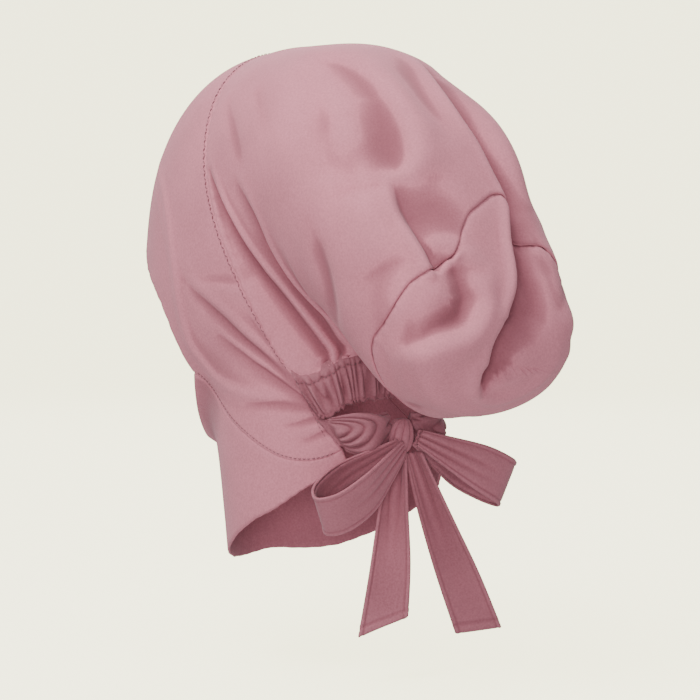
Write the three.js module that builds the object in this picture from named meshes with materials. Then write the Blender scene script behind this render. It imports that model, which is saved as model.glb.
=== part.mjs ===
// A jersey underscarf cap: a smooth band round the face, a bib under the chin, a full slouchy bag
// behind the head, a gathered elastic casing at the nape, and two ties knotted in a bow.
// Millimetres. The wearer faces -Y, +X is the wearer's left and +Z is up.
// The origin is the top of the head, where the inside of the cap rests.
import * as THREE from "three";

// The head that the cap is cut for.
const headWidth = 146;
const headDepth = 192;
const headHeight = 224; // top of the head to under the chin
const neckWidth = 124;
const neckDepth = 124;
const neckLean = 0.14; // how far the neck goes back for each millimetre down

// The cloth.
const wall = 1.5;
const ease = 0.8; // from the skin to the inside of the cloth
const seamGap = 0.8; // between two panels that are sewn together
const casingHeight = 25; // the elastic casing, from its stitching to its lower edge
const casingPucker = 2.4; // depth of its gathers
const casingPuckers = 13;
const foldLift = 2; // height of the tension folds that run out of the gathers

// The bag behind the head.
const bagBehind = 92; // from the back of the head to the back of the bag
const bagSag = 31; // from the seam at the nape to the lowest point of the bag
const bagPuff = 11; // how far the bag stands out at each side of the head
const bagTuck = 2.3; // how far the lower panel is tucked in under the upper panel's edge
const valleyDepth = 17; // the large fold that parts the bag's two lobes

// The bunched ends of the band, which run into the knot.
const gatherHeight = 25;
const gatherThickness = 11;
const gatherRidges = 4;

// The ties.
const tieWidth = 26;
const tieThickness = 1.6;
const tailDrop = 101; // the tails, from the knot to their ends
const tailSlant = 16; // how much further one corner of a tail's end hangs than the other
const loopReach = 65; // the bow's loops, from the knot to their ends
const loopOpening = 22; // between the two sides of a loop
const knotWidth = 15;
const knotDepth = 13;
const knotHeight = 18;
const knotGap = 0.5; // between the knot and the cloth that runs into it

const rose = 0xb9868f;
const roseDeep = 0xb08089;

const turn = 2 * Math.PI;
const at = (x, y, z) => new THREE.Vector3(x, y, z);
const mix = (a, b, t) => a + (b - a) * t;
const between = (a, b, t) => a.clone().lerp(b, t);

// The head as three round forms seen from its middle: skull, jaw and neck.
const headMiddle = at(0, 0, -0.49 * headHeight);
const skull = { a: headWidth / 2, b: headDepth / 2, c: 0.49 * headHeight };
const crownFullness = 2.15; // 2 makes the top of the skull an ellipsoid, and more a fuller one
const jaw = {
  y: -0.14 * headDepth,
  z: -0.17 * headHeight,
  a: 0.44 * headWidth,
  b: 0.345 * headDepth,
  c: 0.366 * headHeight,
};
const neck = { y: 0.085 * headDepth, a: neckWidth / 2, b: neckDepth / 2 };
const blendPower = 14; // how tightly the three forms meet

// How far a ray from the middle of the head runs before it leaves the form whose
// scaled direction and start are given: the larger root of |start + t direction| = 1.
function wayOut(direction, start) {
  const a = direction.lengthSq();
  const b = direction.dot(start);
  const c = start.lengthSq() - 1;
  return (-b + Math.sqrt(b * b - a * c)) / a;
}

function skullOut(d) {
  const level = Math.hypot(d.x / skull.a, d.y / skull.b);
  const power = d.z > 0 ? crownFullness : 2;
  return (level ** power + Math.abs(d.z / skull.c) ** power) ** (-1 / power);
}

function jawOut(d) {
  const direction = at(d.x / jaw.a, d.y / jaw.b, d.z / jaw.c);
  return wayOut(direction, at(0, -jaw.y / jaw.b, -jaw.z / jaw.c));
}

// The neck counts only below the middle of the head.
function neckOut(d) {
  const direction = at(d.x / neck.a, (d.y + neckLean * d.z) / neck.b, 0);
  const fade = 1 - THREE.MathUtils.smoothstep(d.z, -0.3, 0);
  return d.z < 0 ? fade * wayOut(direction, at(0, -neck.y / neck.b, 0)) : 0;
}

// The point of the head under (or over) a given point, raised by lift.
function onHead(point, lift) {
  const d = point.clone().sub(headMiddle).normalize();
  const reaches = [skullOut(d), jawOut(d), neckOut(d)];
  const sum = reaches.reduce((total, r) => total + Math.pow(r, blendPower), 0);
  return headMiddle.clone().addScaledVector(d, Math.pow(sum, 1 / blendPower) + lift);
}

// Edges of the panels on the head's left half, from the middle round to the back. Each row is a
// share of the half width, the half depth and the height of the head; the right half mirrors it.
const headPoint = ({ side, back, down }) =>
  at((side * headWidth) / 2, (back * headDepth) / 2, -down * headHeight);
const mirrored = ({ side, back, down }) => ({ side: -side, back, down });
const bothHalves = (rows) => [...rows.slice(1).reverse().map(mirrored), ...rows];
const curveOf = (rows, closed = false) =>
  new THREE.CatmullRomCurve3(rows.map(headPoint), closed, "catmullrom", 0.5);

// The seam between the band and the bag, every sixteenth of the way round, and on along the
// top of the nape casing.
const napeDown = 0.755;
const crownSeamRows = [
  { side: 0, back: -0.06, down: 0 },
  { side: 0.4, back: -0.06, down: 0.04 },
  { side: 0.7, back: -0.03, down: 0.12 },
  { side: 0.93, back: 0.08, down: 0.27 },
  { side: 1, back: 0.24, down: 0.43 },
  { side: 0.93, back: 0.45, down: 0.615 },
  { side: 0.71, back: 0.67, down: 0.796 },
  { side: 0.4, back: 0.9, down: 0.768 },
  { side: 0, back: 0.99, down: napeDown },
];
const seamSteps = 2 * (crownSeamRows.length - 1);
const columnsAround = 3 * seamSteps; // faces round each large panel, so that their corners meet
const casingStart = 6 / seamSteps; // where the seam reaches the casing
const crownSeam = curveOf(
  [...crownSeamRows, ...crownSeamRows.slice(1, -1).reverse().map(mirrored)],
  true,
);

const cheekCorner = { side: 0.86, back: -0.12, down: 0.81 }; // where the three panels meet
const bandEnd = { side: 0.47, back: 0.9, down: 0.99 }; // the end of the seam under the cheek
const foreheadEdge = curveOf(
  bothHalves([
    { side: 0, back: -0.97, down: 0.36 },
    { side: 0.32, back: -0.92, down: 0.385 },
    { side: 0.6, back: -0.8, down: 0.45 },
    { side: 0.84, back: -0.6, down: 0.535 },
    { side: 0.95, back: -0.33, down: 0.64 },
    cheekCorner,
  ]),
);
const chinEdge = curveOf(
  bothHalves([
    { side: 0, back: -0.56, down: 1.01 },
    { side: 0.3, back: -0.49, down: 1 },
    { side: 0.56, back: -0.34, down: 0.965 },
    { side: 0.74, back: -0.22, down: 0.895 },
    cheekCorner,
  ]),
);
const chinSeamRows = [
  cheekCorner,
  { side: 0.865, back: 0.16, down: 0.9 },
  { side: 0.86, back: 0.42, down: 0.965 },
  { side: 0.75, back: 0.67, down: 1.01 },
  bandEnd,
];
const chinSeamLeft = curveOf(chinSeamRows);
const chinSeamRight = curveOf(chinSeamRows.map(mirrored));
const hemEdge = curveOf(
  bothHalves([
    { side: 0, back: -0.21, down: 1.235 },
    { side: 0.33, back: -0.15, down: 1.23 },
    { side: 0.62, back: 0.01, down: 1.21 },
    { side: 0.8, back: 0.22, down: 1.19 },
    { side: 0.86, back: 0.42, down: 1.165 },
    { side: 0.82, back: 0.58, down: 1.13 },
    { side: 0.72, back: 0.73, down: 1.085 },
    { side: 0.58, back: 0.84, down: 1.045 },
    { side: 0.44, back: 0.91, down: 1.015 },
  ]),
);

// A panel's edge where the first half of the way out from the middle, along, follows one curve
// and the rest follows the seam under the cheek. Along runs from -1 to 1.
function splitEdge(curve, along) {
  const out = Math.abs(along);
  if (out <= 0.5) return curve.getPoint(0.5 + along);
  const seam = along > 0 ? chinSeamLeft : chinSeamRight;
  return seam.getPoint(2 * out - 1);
}

// Folds lie along a few points of a panel. Their depth, which is taken off the cloth, goes from
// one value to another along them, and a ridge has a depth below zero. Near and far are a fold's
// widths on the two sides of its line, in millimetres.
function foldDepth(folds, a, b, unitA, unitB) {
  let depth = 0;
  for (const fold of folds) {
    let nearest = Infinity;
    let side = 1;
    let share = 0;
    for (let i = 0; i + 1 < fold.path.length; i += 1) {
      const [a0, b0] = fold.path[i];
      const [a1, b1] = fold.path[i + 1];
      const line = new THREE.Vector2((a1 - a0) * unitA, (b1 - b0) * unitB);
      const from = new THREE.Vector2((a - a0) * unitA, (b - b0) * unitB);
      const t = THREE.MathUtils.clamp(from.dot(line) / line.lengthSq(), 0, 1);
      const distance = from.clone().addScaledVector(line, -t).length();
      if (distance < nearest) {
        nearest = distance;
        side = line.cross(from) > 0 ? 1 : 0;
        share = (i + t) / (fold.path.length - 1);
      }
    }
    const width = side ? fold.far : fold.near;
    depth += mix(fold.from, fold.to, share) * Math.exp(-((nearest / width) ** 2));
  }
  return depth;
}

// Makes the geometry of a closed surface and turns its faces outwards.
function closedGeometry(points, faces) {
  let volume = 0;
  for (let i = 0; i < faces.length; i += 3) {
    const [a, b, c] = [points[faces[i]], points[faces[i + 1]], points[faces[i + 2]]];
    volume += a.dot(b.clone().cross(c));
  }
  if (volume < 0) faces.reverse();
  const geometry = new THREE.BufferGeometry();
  geometry.setAttribute(
    "position",
    new THREE.Float32BufferAttribute(points.flatMap((p) => p.toArray()), 3),
  );
  geometry.setIndex(faces);
  geometry.computeVertexNormals();
  return geometry;
}

// A closed wall of cloth from its outer face: face(u, v) for u and v from 0 to 1. A ring closes
// round u, and a tip draws the last row of v to one point. The inside of the wall is turned
// towards the point inside.
function clothGeometry(face, columns, rows, thickness, inside, { ring = false, tip = false } = {}) {
  const across = ring ? columns : columns + 1;
  const outer = [];
  for (let j = 0; j <= rows; j += 1) {
    for (let i = 0; i < across; i += 1) outer.push(face(i / columns, j / rows));
  }
  const index = (i, j) => j * across + (ring ? (i + columns) % columns : i);
  const stepped = (i) => (ring ? i : THREE.MathUtils.clamp(i, 0, columns));
  const normals = [];
  let facing = 0;
  for (let j = 0; j <= rows; j += 1) {
    for (let i = 0; i < across; i += 1) {
      const alongU = outer[index(stepped(i + 1), j)].clone().sub(outer[index(stepped(i - 1), j)]);
      const next = outer[index(i, Math.min(j + 1, rows))];
      const alongV = next.clone().sub(outer[index(i, Math.max(j - 1, 0))]);
      const normal = alongU.cross(alongV).normalize();
      normals.push(normal);
      facing += normal.dot(outer[index(i, j)].clone().sub(inside));
    }
  }
  const depth = facing > 0 ? -thickness : thickness;
  if (tip) {
    const mean = at(0, 0, 0);
    for (let i = 0; i < across; i += 1) mean.add(normals[index(i, rows - 1)]);
    for (let i = 0; i < across; i += 1) normals[index(i, rows)].copy(mean).normalize();
  }
  const inner = outer.map((point, n) => point.clone().addScaledVector(normals[n], depth));

  const points = [...outer, ...inner];
  const last = outer.length;
  const faces = [];
  const quad = (a, b, c, d) => faces.push(a, b, c, a, c, d);
  const rim = (a, b) => quad(a, b, b + last, a + last);
  for (let j = 0; j < rows; j += 1) {
    for (let i = 0; i < columns; i += 1) {
      const [a, b] = [index(i, j), index(i + 1, j)];
      const [c, d] = [index(i + 1, j + 1), index(i, j + 1)];
      if (tip && j === rows - 1) {
        const end = index(0, rows);
        faces.push(a, b, end, b + last, a + last, end + last);
      } else {
        quad(a, b, c, d);
        quad(b + last, a + last, d + last, c + last);
      }
    }
  }
  for (let i = 0; i < columns; i += 1) {
    rim(index(i + 1, 0), index(i, 0));
    if (!tip) rim(index(i, rows), index(i + 1, rows));
  }
  for (let j = 0; j < rows && !ring; j += 1) {
    rim(index(0, j), index(0, j + 1));
    rim(index(columns, j + 1), index(columns, j));
  }
  return closedGeometry(points, faces);
}

// A solid lofted through rings: face(u, v) with u round the ring. Both ends are closed.
function solidGeometry(face, columns, rows) {
  const points = [];
  for (let j = 0; j <= rows; j += 1) {
    for (let i = 0; i < columns; i += 1) points.push(face(i / columns, j / rows));
  }
  const ends = [0, rows].map((j) => {
    const middle = at(0, 0, 0);
    for (let i = 0; i < columns; i += 1) middle.addScaledVector(points[j * columns + i], 1 / columns);
    return middle;
  });
  const [start, end] = [points.length, points.length + 1];
  points.push(...ends);
  const faces = [];
  for (let i = 0; i < columns; i += 1) {
    const next = (i + 1) % columns;
    for (let j = 0; j < rows; j += 1) {
      const [a, b] = [j * columns + i, j * columns + next];
      faces.push(a, b, b + columns, a, b + columns, a + columns);
    }
    faces.push(start, next, i, end, rows * columns + i, rows * columns + next);
  }
  return closedGeometry(points, faces);
}

const cloth = (color) => new THREE.MeshStandardMaterial({ color, roughness: 0.85, metalness: 0 });
const cap = new THREE.Group();
function addPiece(name, geometry, color) {
  const mesh = new THREE.Mesh(geometry, cloth(color));
  mesh.name = name;
  cap.add(mesh);
}

// The band round the face. Across runs from the face edge to the seam with the bag.
const bandFolds = [
  { path: [[0.98, 0.6], [0.8, 0.62], [0.62, 0.68]], near: 6, far: 8, from: 1.2, to: 0.4 },
  { path: [[0.98, 0.45], [0.78, 0.42], [0.55, 0.45]], near: 6, far: 9, from: 1.3, to: 0.5 },
  { path: [[0.98, 0.28], [0.8, 0.24], [0.6, 0.22]], near: 6, far: 8, from: 1, to: 0.3 },
  { path: [[0.95, 0.36], [0.7, 0.33], [0.4, 0.3]], near: 7, far: 7, from: -1, to: -0.4 },
];
const bandLength = 1.72 * headDepth; // of one side, along the middle of the band
const bandBreadth = 0.5 * headDepth;

function bandFace(along, across) {
  const inner = splitEdge(foreheadEdge, along);
  const outer = crownSeam.getPoint((1 + along * casingStart) % 1);
  const folds = foldDepth(bandFolds, Math.abs(along), across, bandLength, bandBreadth);
  return onHead(between(inner, outer, across), ease + wall - foldLift * folds);
}

function frontBand() {
  const edge = seamGap / (2 * bandBreadth);
  const end = 1 - seamGap / bandLength;
  const face = (u, v) => bandFace(mix(-end, end, u), mix(edge, 1 - edge, v));
  return clothGeometry(face, columnsAround, 8, wall, headMiddle);
}

// The panel under the chin. Across runs from the seam under the cheek to the hem.
const chinBreadth = 0.27 * headHeight;

function chinPanel() {
  const edge = seamGap / (2 * chinBreadth);
  const face = (u, v) => {
    const along = 2 * u - 1;
    const spot = between(splitEdge(chinEdge, along), hemEdge.getPoint(u), mix(edge, 1, v));
    return onHead(spot, ease + wall);
  };
  return clothGeometry(face, columnsAround, 5, wall, headMiddle);
}

// The casing hangs from the seam at the nape. Its ends lie along the slanting ends of the band.
const bandEndPoint = headPoint(bandEnd);
const casingEndPoint = headPoint(crownSeamRows[6]);
const casingShare = casingHeight / bandEndPoint.distanceTo(casingEndPoint);

function napeCasing() {
  const slant = bandEndPoint.clone().sub(casingEndPoint).multiplyScalar(casingShare);
  const face = (u, v) => {
    const top = crownSeam.getPoint(mix(casingStart, 1 - casingStart, u));
    const fromMiddle = 1 - 2 * u;
    const lean = fromMiddle ** 2;
    const fall = at(Math.sign(fromMiddle) * slant.x, slant.y, slant.z).multiplyScalar(lean);
    fall.z -= (1 - lean) * casingHeight;
    const pucker = (1 - Math.cos(casingPuckers * turn * u)) / 2;
    const spread = mix(0.45, 1, Math.sin(Math.PI * v));
    const spot = top.addScaledVector(fall, mix(seamGap / casingHeight, 1, v));
    return onHead(spot, ease + wall + casingPucker * pucker * spread);
  };
  const end = seamGap / (headWidth * casingShare);
  return clothGeometry((u, v) => face(mix(end, 1 - end, u), v), 78, 3, wall, headMiddle);
}

// The bag, in rings from the seam to the pole at its back. Each ring has a top point and a low
// point, as shares of the bag's whole reach behind the middle of the head and of its whole drop.
// Wide is its share of the half width, narrow is what is left of that towards its low point, and
// bow is how far its sides lie back of the line between the two points, as a share of the reach.
// Each row is top back, top down, low back, low down, wide, narrow and bow.
const bagReach = headDepth / 2 + bagBehind;
const bagDrop = napeDown * headHeight + bagSag;
const bagHalfWidth = headWidth / 2 + bagPuff;
const bagRows = [
  [0.12, -0.02, 0.53, 0.85, 0.93, 0.6, -0.09],
  [0.36, -0.012, 0.58, 0.915, 0.97, 0.63, -0.04],
  [0.56, 0.078, 0.64, 0.968, 0.94, 0.72, -0.03],
  [0.71, 0.205, 0.68, 0.995, 0.87, 0.8, -0.01],
  [0.81, 0.36, 0.72, 1.005, 0.77, 0.85, 0.02],
  [0.89, 0.51, 0.8, 1, 0.72, 0.9, 0.03],
  [0.955, 0.66, 0.88, 0.97, 0.56, 1, 0.03],
];
const bagPole = at(0, 0.965 * bagReach, -0.84 * bagDrop);
const bagSteps = bagRows.length + 1;
const bagMiddle = at(0, 0.45 * bagReach, -0.48 * bagDrop);

function ringPoint(k, around) {
  if (k === 0) return onHead(crownSeam.getPoint(around), ease + wall);
  if (k === bagSteps) return bagPole.clone();
  const [topBack, topDown, lowBack, lowDown, wide, narrow, bow] = bagRows[k - 1];
  const top = at(0, topBack * bagReach, -topDown * bagDrop);
  const low = at(0, lowBack * bagReach, -lowDown * bagDrop);
  const [cos, sin] = [Math.cos(turn * around), Math.sin(turn * around)];
  const lower = (1 - cos) / 2;
  const point = between(top, low, lower);
  const width = wide * bagHalfWidth * mix(1, narrow, lower * lower);
  point.x += width * Math.sign(sin) * Math.abs(sin) ** 0.85;
  const backward = at(0, top.z - low.z, low.y - top.y).normalize();
  return point.addScaledVector(backward, bow * bagReach * sin * sin);
}

// The bag's smooth surface, before its folds. Along runs from the seam to the pole.
function bagSurface(around, along) {
  const k = Math.min(Math.floor(along * bagSteps), bagSteps - 1);
  const t = along * bagSteps - k;
  const [b, c] = [ringPoint(k, around), ringPoint(k + 1, around)];
  const a = k === 0 ? b.clone().multiplyScalar(2).sub(c) : ringPoint(k - 1, around);
  const d = k + 2 > bagSteps ? ringPoint(k, (around + 0.5) % 1) : ringPoint(k + 2, around);
  const piece = new THREE.CatmullRomCurve3([a, b, c, d], false, "catmullrom", 0.5);
  return piece.getPoint((1 + t) / 3);
}

// Folds of the bag, at shares of the way round from the top over the left side, and of the way
// along from the seam to the pole. Depths are shares of the large fold's.
const largeFold = [[0.94, 0.36], [0.96, 0.5], [0.952, 0.66], [0.96, 0.82], [0.97, 0.95]];
const besideIt = [[0.064, 0.29], [0.063, 0.42], [0.09, 0.53], [0.114, 0.57]];
const longCrease = [[0.21, 0.046], [0.276, 0.075], [0.335, 0.088], [0.38, 0.06]];
const bagFolds = [
  { path: largeFold, near: 24, far: 15, from: 0.2, to: 1.25 },
  { path: besideIt, near: 14, far: 14, from: 0.2, to: 0.45 },
  { path: [[0.118, 0.6], [0.122, 0.76]], near: 12, far: 12, from: 0.4, to: 0.25 },
  { path: longCrease, near: 6, far: 8, from: 0.15, to: 0.28 },
  { path: [[0.268, 0.117], [0.318, 0.14], [0.357, 0.13]], near: 6, far: 8, from: 0.15, to: 0.28 },
  { path: [[0.4, 0.05], [0.37, 0.18], [0.31, 0.3]], near: 7, far: 9, from: 0.25, to: 0.15 },
  { path: [[0.44, 0.05], [0.43, 0.2], [0.38, 0.36]], near: 7, far: 9, from: 0.25, to: 0.15 },
  { path: [[0.79, 0.05], [0.7, 0.08], [0.62, 0.06]], near: 8, far: 6, from: 0.15, to: 0.28 },
  { path: [[0.6, 0.05], [0.63, 0.18], [0.69, 0.3]], near: 9, far: 7, from: 0.25, to: 0.15 },
  { path: [[0.56, 0.05], [0.57, 0.2], [0.62, 0.36]], near: 9, far: 7, from: 0.25, to: 0.15 },
  { path: [[0.08, 0.86], [0.145, 0.88], [0.236, 0.82]], near: 9, far: 9, from: 0.2, to: 0.3 },
  { path: [[0.8, 0.82], [0.87, 0.88], [0.91, 0.95]], near: 9, far: 9, from: 0.2, to: 0.3 },
];
const bagRound = 5.7 * bagHalfWidth; // once round the bag
const bagAlong = 1.28 * bagReach; // from the seam to the pole

function bagFace(around, along) {
  const point = bagSurface(around, along);
  const turns = around < 0.5 ? [around, around + 1] : [around];
  const depths = turns.map((share) => foldDepth(bagFolds, share, along, bagRound, bagAlong));
  const fold = valleyDepth * Math.max(...depths) * THREE.MathUtils.smoothstep(along, 0, 0.06);
  const inward = bagMiddle.clone().sub(point).normalize();
  return point.addScaledVector(inward, fold);
}

// The seam between the crown panel and the base, at every twelfth of the way round, as shares of
// the way along.
const baseSeamShares = [0.69, 0.77, 0.74, 0.665, 0.56, 0.5, 0.49, 0.5, 0.56, 0.66, 0.71, 0.735];
const baseSeam = new THREE.CatmullRomCurve3(
  baseSeamShares.map((share) => at(share, 0, 0)),
  true,
  "catmullrom",
  0.5,
);

function crownPanel() {
  const start = seamGap / bagAlong;
  const face = (u, v) => bagFace(u, mix(start, baseSeam.getPoint(u).x, v));
  return clothGeometry(face, columnsAround, 16, wall, bagMiddle, { ring: true });
}

function bagBase() {
  const clear = seamGap / (2 * bagAlong);
  const face = (u, v) => {
    const along = mix(baseSeam.getPoint(u).x + clear, 1, v);
    const point = bagFace(u, along);
    if (v === 1) return point;
    const round = bagFace(u + clear, along).sub(point);
    const inward = bagFace(u, along + clear).sub(point).cross(round).normalize();
    return point.addScaledVector(inward, bagTuck * (1 - v) ** 3);
  };
  return clothGeometry(face, columnsAround, 8, wall, bagMiddle, { ring: true, tip: true });
}

// The knot lies on the nape, a little to the wearer's left.
const napeSpot = { side: 0.03, back: 0.95, down: 0.925 };
const knotMiddle = onHead(headPoint(napeSpot), ease + knotDepth / 2);

function bowKnot() {
  const face = (u, v) => {
    const [angle, height] = [turn * u, Math.PI * mix(0.06, 0.94, v)];
    const wrap = 0.95 + 0.05 * Math.cos(3 * height + angle);
    const round = Math.sin(height) ** 0.7 * wrap;
    const offset = at(
      (knotWidth / 2) * round * Math.cos(angle),
      (knotDepth / 2) * round * Math.sin(angle),
      (-knotHeight / 2) * Math.cos(height),
    );
    return offset.add(knotMiddle);
  };
  return solidGeometry(face, 16, 9);
}

// The bunched end of the band, from the lower part of the band's end to the side of the knot.
// High and thick are shares of the gather's height and thickness.
const gatherRows = [
  { high: 0.76, thick: 0.3 },
  { high: 0.88, thick: 0.75 },
  { high: 0.88, thick: 1 },
  { high: 0.74, thick: 0.82 },
  { high: 0.56, thick: 0.52 },
];
const gatherStart = 0.39; // where it leaves the band's end, as a share of the way up to the casing
const heightCurve = new THREE.SplineCurve(
  gatherRows.map((row, n) => new THREE.Vector2(n, row.high * gatherHeight)),
);
const thickCurve = new THREE.SplineCurve(
  gatherRows.map((row, n) => new THREE.Vector2(n, row.thick * gatherThickness)),
);

function gather(hand) {
  const start = between(bandEndPoint, casingEndPoint, gatherStart * (1 - casingShare));
  start.x *= hand;
  const end = knotMiddle.clone();
  end.x += hand * (knotWidth / 2 + knotGap);
  const skinEnd = onHead(end, 0);
  const skinStart = onHead(start, 0);
  const middleOf = (v) => onHead(between(skinStart, skinEnd, v), 0);
  const bandSlant = casingEndPoint.clone().sub(bandEndPoint).normalize();
  bandSlant.x *= hand;
  const face = (u, v) => {
    const middle = middleOf(v);
    const along = middleOf(Math.min(v + 0.05, 1)).sub(middleOf(Math.max(v - 0.05, 0))).normalize();
    const out = middle.clone().sub(at(0, neck.y, middle.z)).normalize();
    const up = out.clone().cross(along).normalize();
    if (up.z < 0) up.negate();
    up.lerp(bandSlant, (1 - v) ** 2).lerp(at(0, 0, 1), v ** 4).normalize();
    const high = heightCurve.getPoint(v).y / 2;
    const thick = thickCurve.getPoint(v).y / 2;
    const angle = turn * u;
    const ridge = 1 + 0.1 * Math.cos(2 * gatherRidges * angle) * Math.sin(Math.PI * v);
    return middle
      .addScaledVector(out, ease + thick + thick * ridge * Math.sin(angle))
      .addScaledVector(up, high * Math.cos(angle));
  };
  return solidGeometry(face, 20, 9);
}

// A loop of the bow: the tie runs out from the knot and back again. Out and apart are shares of
// the loop's reach and half opening, and wide is a share of the tie's width.
const loopRows = [
  { out: 0, apart: -0.2, wide: 0.36 },
  { out: 0.22, apart: -0.55, wide: 0.6 },
  { out: 0.58, apart: -1, wide: 0.94 },
  { out: 0.87, apart: -0.8, wide: 1 },
  { out: 1, apart: 0, wide: 1 },
  { out: 0.88, apart: 0.8, wide: 1 },
  { out: 0.58, apart: 0.95, wide: 0.92 },
  { out: 0.22, apart: 0.5, wide: 0.58 },
  { out: 0, apart: 0.2, wide: 0.36 },
];

function bowLoop({ run, breadth, away }) {
  const across = breadth.clone().addScaledVector(run, -breadth.dot(run)).normalize();
  const apart = run.clone().cross(across).normalize();
  const root = knotMiddle.clone().add(away);
  const rows = loopRows.map((row) => {
    const place = root.clone().addScaledVector(run, row.out * loopReach);
    return { place: place.addScaledVector(apart, (row.apart * loopOpening) / 2), wide: row.wide };
  });
  const path = new THREE.CatmullRomCurve3(rows.map((row) => row.place), false, "catmullrom", 0.5);
  const widths = new THREE.SplineCurve(rows.map((row, n) => new THREE.Vector2(n, row.wide * tieWidth)));
  const face = (u, v) => path.getPoint(v).addScaledVector(across, (u - 0.5) * widths.getPoint(v).y);
  const middle = root.clone().addScaledVector(run, loopReach / 2);
  return clothGeometry(face, 4, 22, tieThickness, middle);
}

// A tail of the bow. Down is a share of its drop, and side and back are shares of the tie's width
// by which its middle has moved. Wide is its width as a share of the tie's, and deep is how far
// its middle is folded in, as a share of the tie's width.
const tailRows = {
  left: [
    { down: 0, side: 0, back: 0, wide: 0.32, deep: 0.12 },
    { down: 0.3, side: 0.2, back: 0.12, wide: 0.55, deep: 0.2 },
    { down: 0.65, side: 0.42, back: 0.24, wide: 0.8, deep: 0.1 },
    { down: 1, side: 0.66, back: 0.3, wide: 1, deep: 0.03 },
  ],
  right: [
    { down: 0, side: 0, back: 0, wide: 0.32, deep: 0.12 },
    { down: 0.3, side: -0.46, back: 0.1, wide: 0.6, deep: 0.18 },
    { down: 0.65, side: -1.03, back: 0.2, wide: 0.85, deep: 0.08 },
    { down: 1, side: -1.6, back: 0.3, wide: 0.95, deep: 0.03 },
  ],
};

function bowTail(rows, { facing, away, slant, drop }) {
  const root = knotMiddle.clone().add(away);
  const across = at(Math.cos(facing), Math.sin(facing), 0);
  const inward = at(Math.sin(facing), -Math.cos(facing), 0);
  const spline = (value) =>
    new THREE.SplineCurve(rows.map((row) => new THREE.Vector2(row.down, value(row))));
  const side = spline((row) => row.side * tieWidth);
  const back = spline((row) => row.back * tieWidth);
  const wide = spline((row) => row.wide * tieWidth);
  const deep = spline((row) => row.deep * tieWidth);
  const face = (u, v) => {
    const down = side.getPoint(v).x * drop + slant * (u - 0.5) * v * v;
    return root
      .clone()
      .add(at(side.getPoint(v).y, back.getPoint(v).y, -down))
      .addScaledVector(across, (u - 0.5) * wide.getPoint(v).y)
      .addScaledVector(inward, Math.sin(Math.PI * u) * deep.getPoint(v).y);
  };
  const inside = root.clone().addScaledVector(inward, headDepth);
  return clothGeometry(face, 6, 12, tieThickness, inside);
}

// Where the loops and tails leave the knot, as shares of its width, depth and height.
const fromKnot = (side, back, up) => at(side * knotWidth, back * knotDepth, up * knotHeight);
const leftLoop = {
  run: at(0.85, -0.02, -0.527).normalize(),
  breadth: at(0.765, 0.244, 0.594),
  away: fromKnot(0.34, 0.5, -0.28),
};
const rightLoop = {
  run: at(-0.88, 0.149, -0.447).normalize(),
  breadth: at(-0.55, 0.07, 0.83),
  away: fromKnot(-0.43, 0.59, -0.033),
};
const underKnot = -0.5 - knotGap / knotHeight;
const tailFacing = (-40 * Math.PI) / 180; // the tails face back and to the left
const leftTail = {
  facing: tailFacing,
  away: fromKnot(0.28, 0.2, underKnot),
  slant: tailSlant,
  drop: 0.91 * tailDrop,
};
const rightTail = {
  facing: tailFacing,
  away: fromKnot(-0.3, 0.46, underKnot),
  slant: tailSlant / 4,
  drop: tailDrop,
};

addPiece("front_band", frontBand(), rose);
addPiece("chin_panel", chinPanel(), rose);
addPiece("crown_panel", crownPanel(), rose);
addPiece("bag_base", bagBase(), rose);
addPiece("nape_casing", napeCasing(), roseDeep);
addPiece("gather_left", gather(1), roseDeep);
addPiece("gather_right", gather(-1), roseDeep);
addPiece("bow_knot", bowKnot(), roseDeep);
addPiece("bow_loop_left", bowLoop(leftLoop), rose);
addPiece("bow_loop_right", bowLoop(rightLoop), rose);
addPiece("bow_tail_left", bowTail(tailRows.left, leftTail), rose);
addPiece("bow_tail_right", bowTail(tailRows.right, rightTail), rose);

export default cap;
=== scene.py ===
"""A jersey underscarf cap in its own cloth: each panel is drawn out of the same lines that the
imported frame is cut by, with the folds, gathers, hems and stitches that cloth adds."""
import math

import bpy
import numpy as np
from bpy.props import FloatProperty, FloatVectorProperty, IntProperty, PointerProperty
from mathutils import Matrix, Vector


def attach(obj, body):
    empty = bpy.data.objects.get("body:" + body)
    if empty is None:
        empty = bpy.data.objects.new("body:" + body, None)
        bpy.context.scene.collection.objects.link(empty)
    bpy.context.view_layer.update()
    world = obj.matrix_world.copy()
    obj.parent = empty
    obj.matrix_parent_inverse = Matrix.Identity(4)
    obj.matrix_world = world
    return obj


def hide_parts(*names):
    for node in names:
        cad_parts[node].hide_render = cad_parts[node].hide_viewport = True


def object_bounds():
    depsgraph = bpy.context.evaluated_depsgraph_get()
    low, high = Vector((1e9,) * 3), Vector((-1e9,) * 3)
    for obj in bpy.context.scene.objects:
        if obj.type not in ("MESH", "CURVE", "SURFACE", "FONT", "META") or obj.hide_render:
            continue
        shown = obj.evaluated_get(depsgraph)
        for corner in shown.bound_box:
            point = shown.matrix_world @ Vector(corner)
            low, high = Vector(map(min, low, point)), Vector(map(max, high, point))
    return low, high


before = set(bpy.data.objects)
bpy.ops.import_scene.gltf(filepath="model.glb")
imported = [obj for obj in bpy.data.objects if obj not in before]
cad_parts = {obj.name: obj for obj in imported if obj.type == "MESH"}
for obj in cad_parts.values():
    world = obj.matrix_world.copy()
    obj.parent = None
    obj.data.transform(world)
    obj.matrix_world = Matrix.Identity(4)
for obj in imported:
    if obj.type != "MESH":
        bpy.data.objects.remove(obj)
cad_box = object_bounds()

bl_info = {
    "name": "Underscarf cap",
    "version": (1, 0, 0),
    "blender": (4, 5, 0),
    "location": "3D View > Sidebar > Cap",
    "description": "Makes a jersey underscarf cap with a slouchy bag and a bow at the nape",
    "category": "Add Mesh",
}

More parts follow.
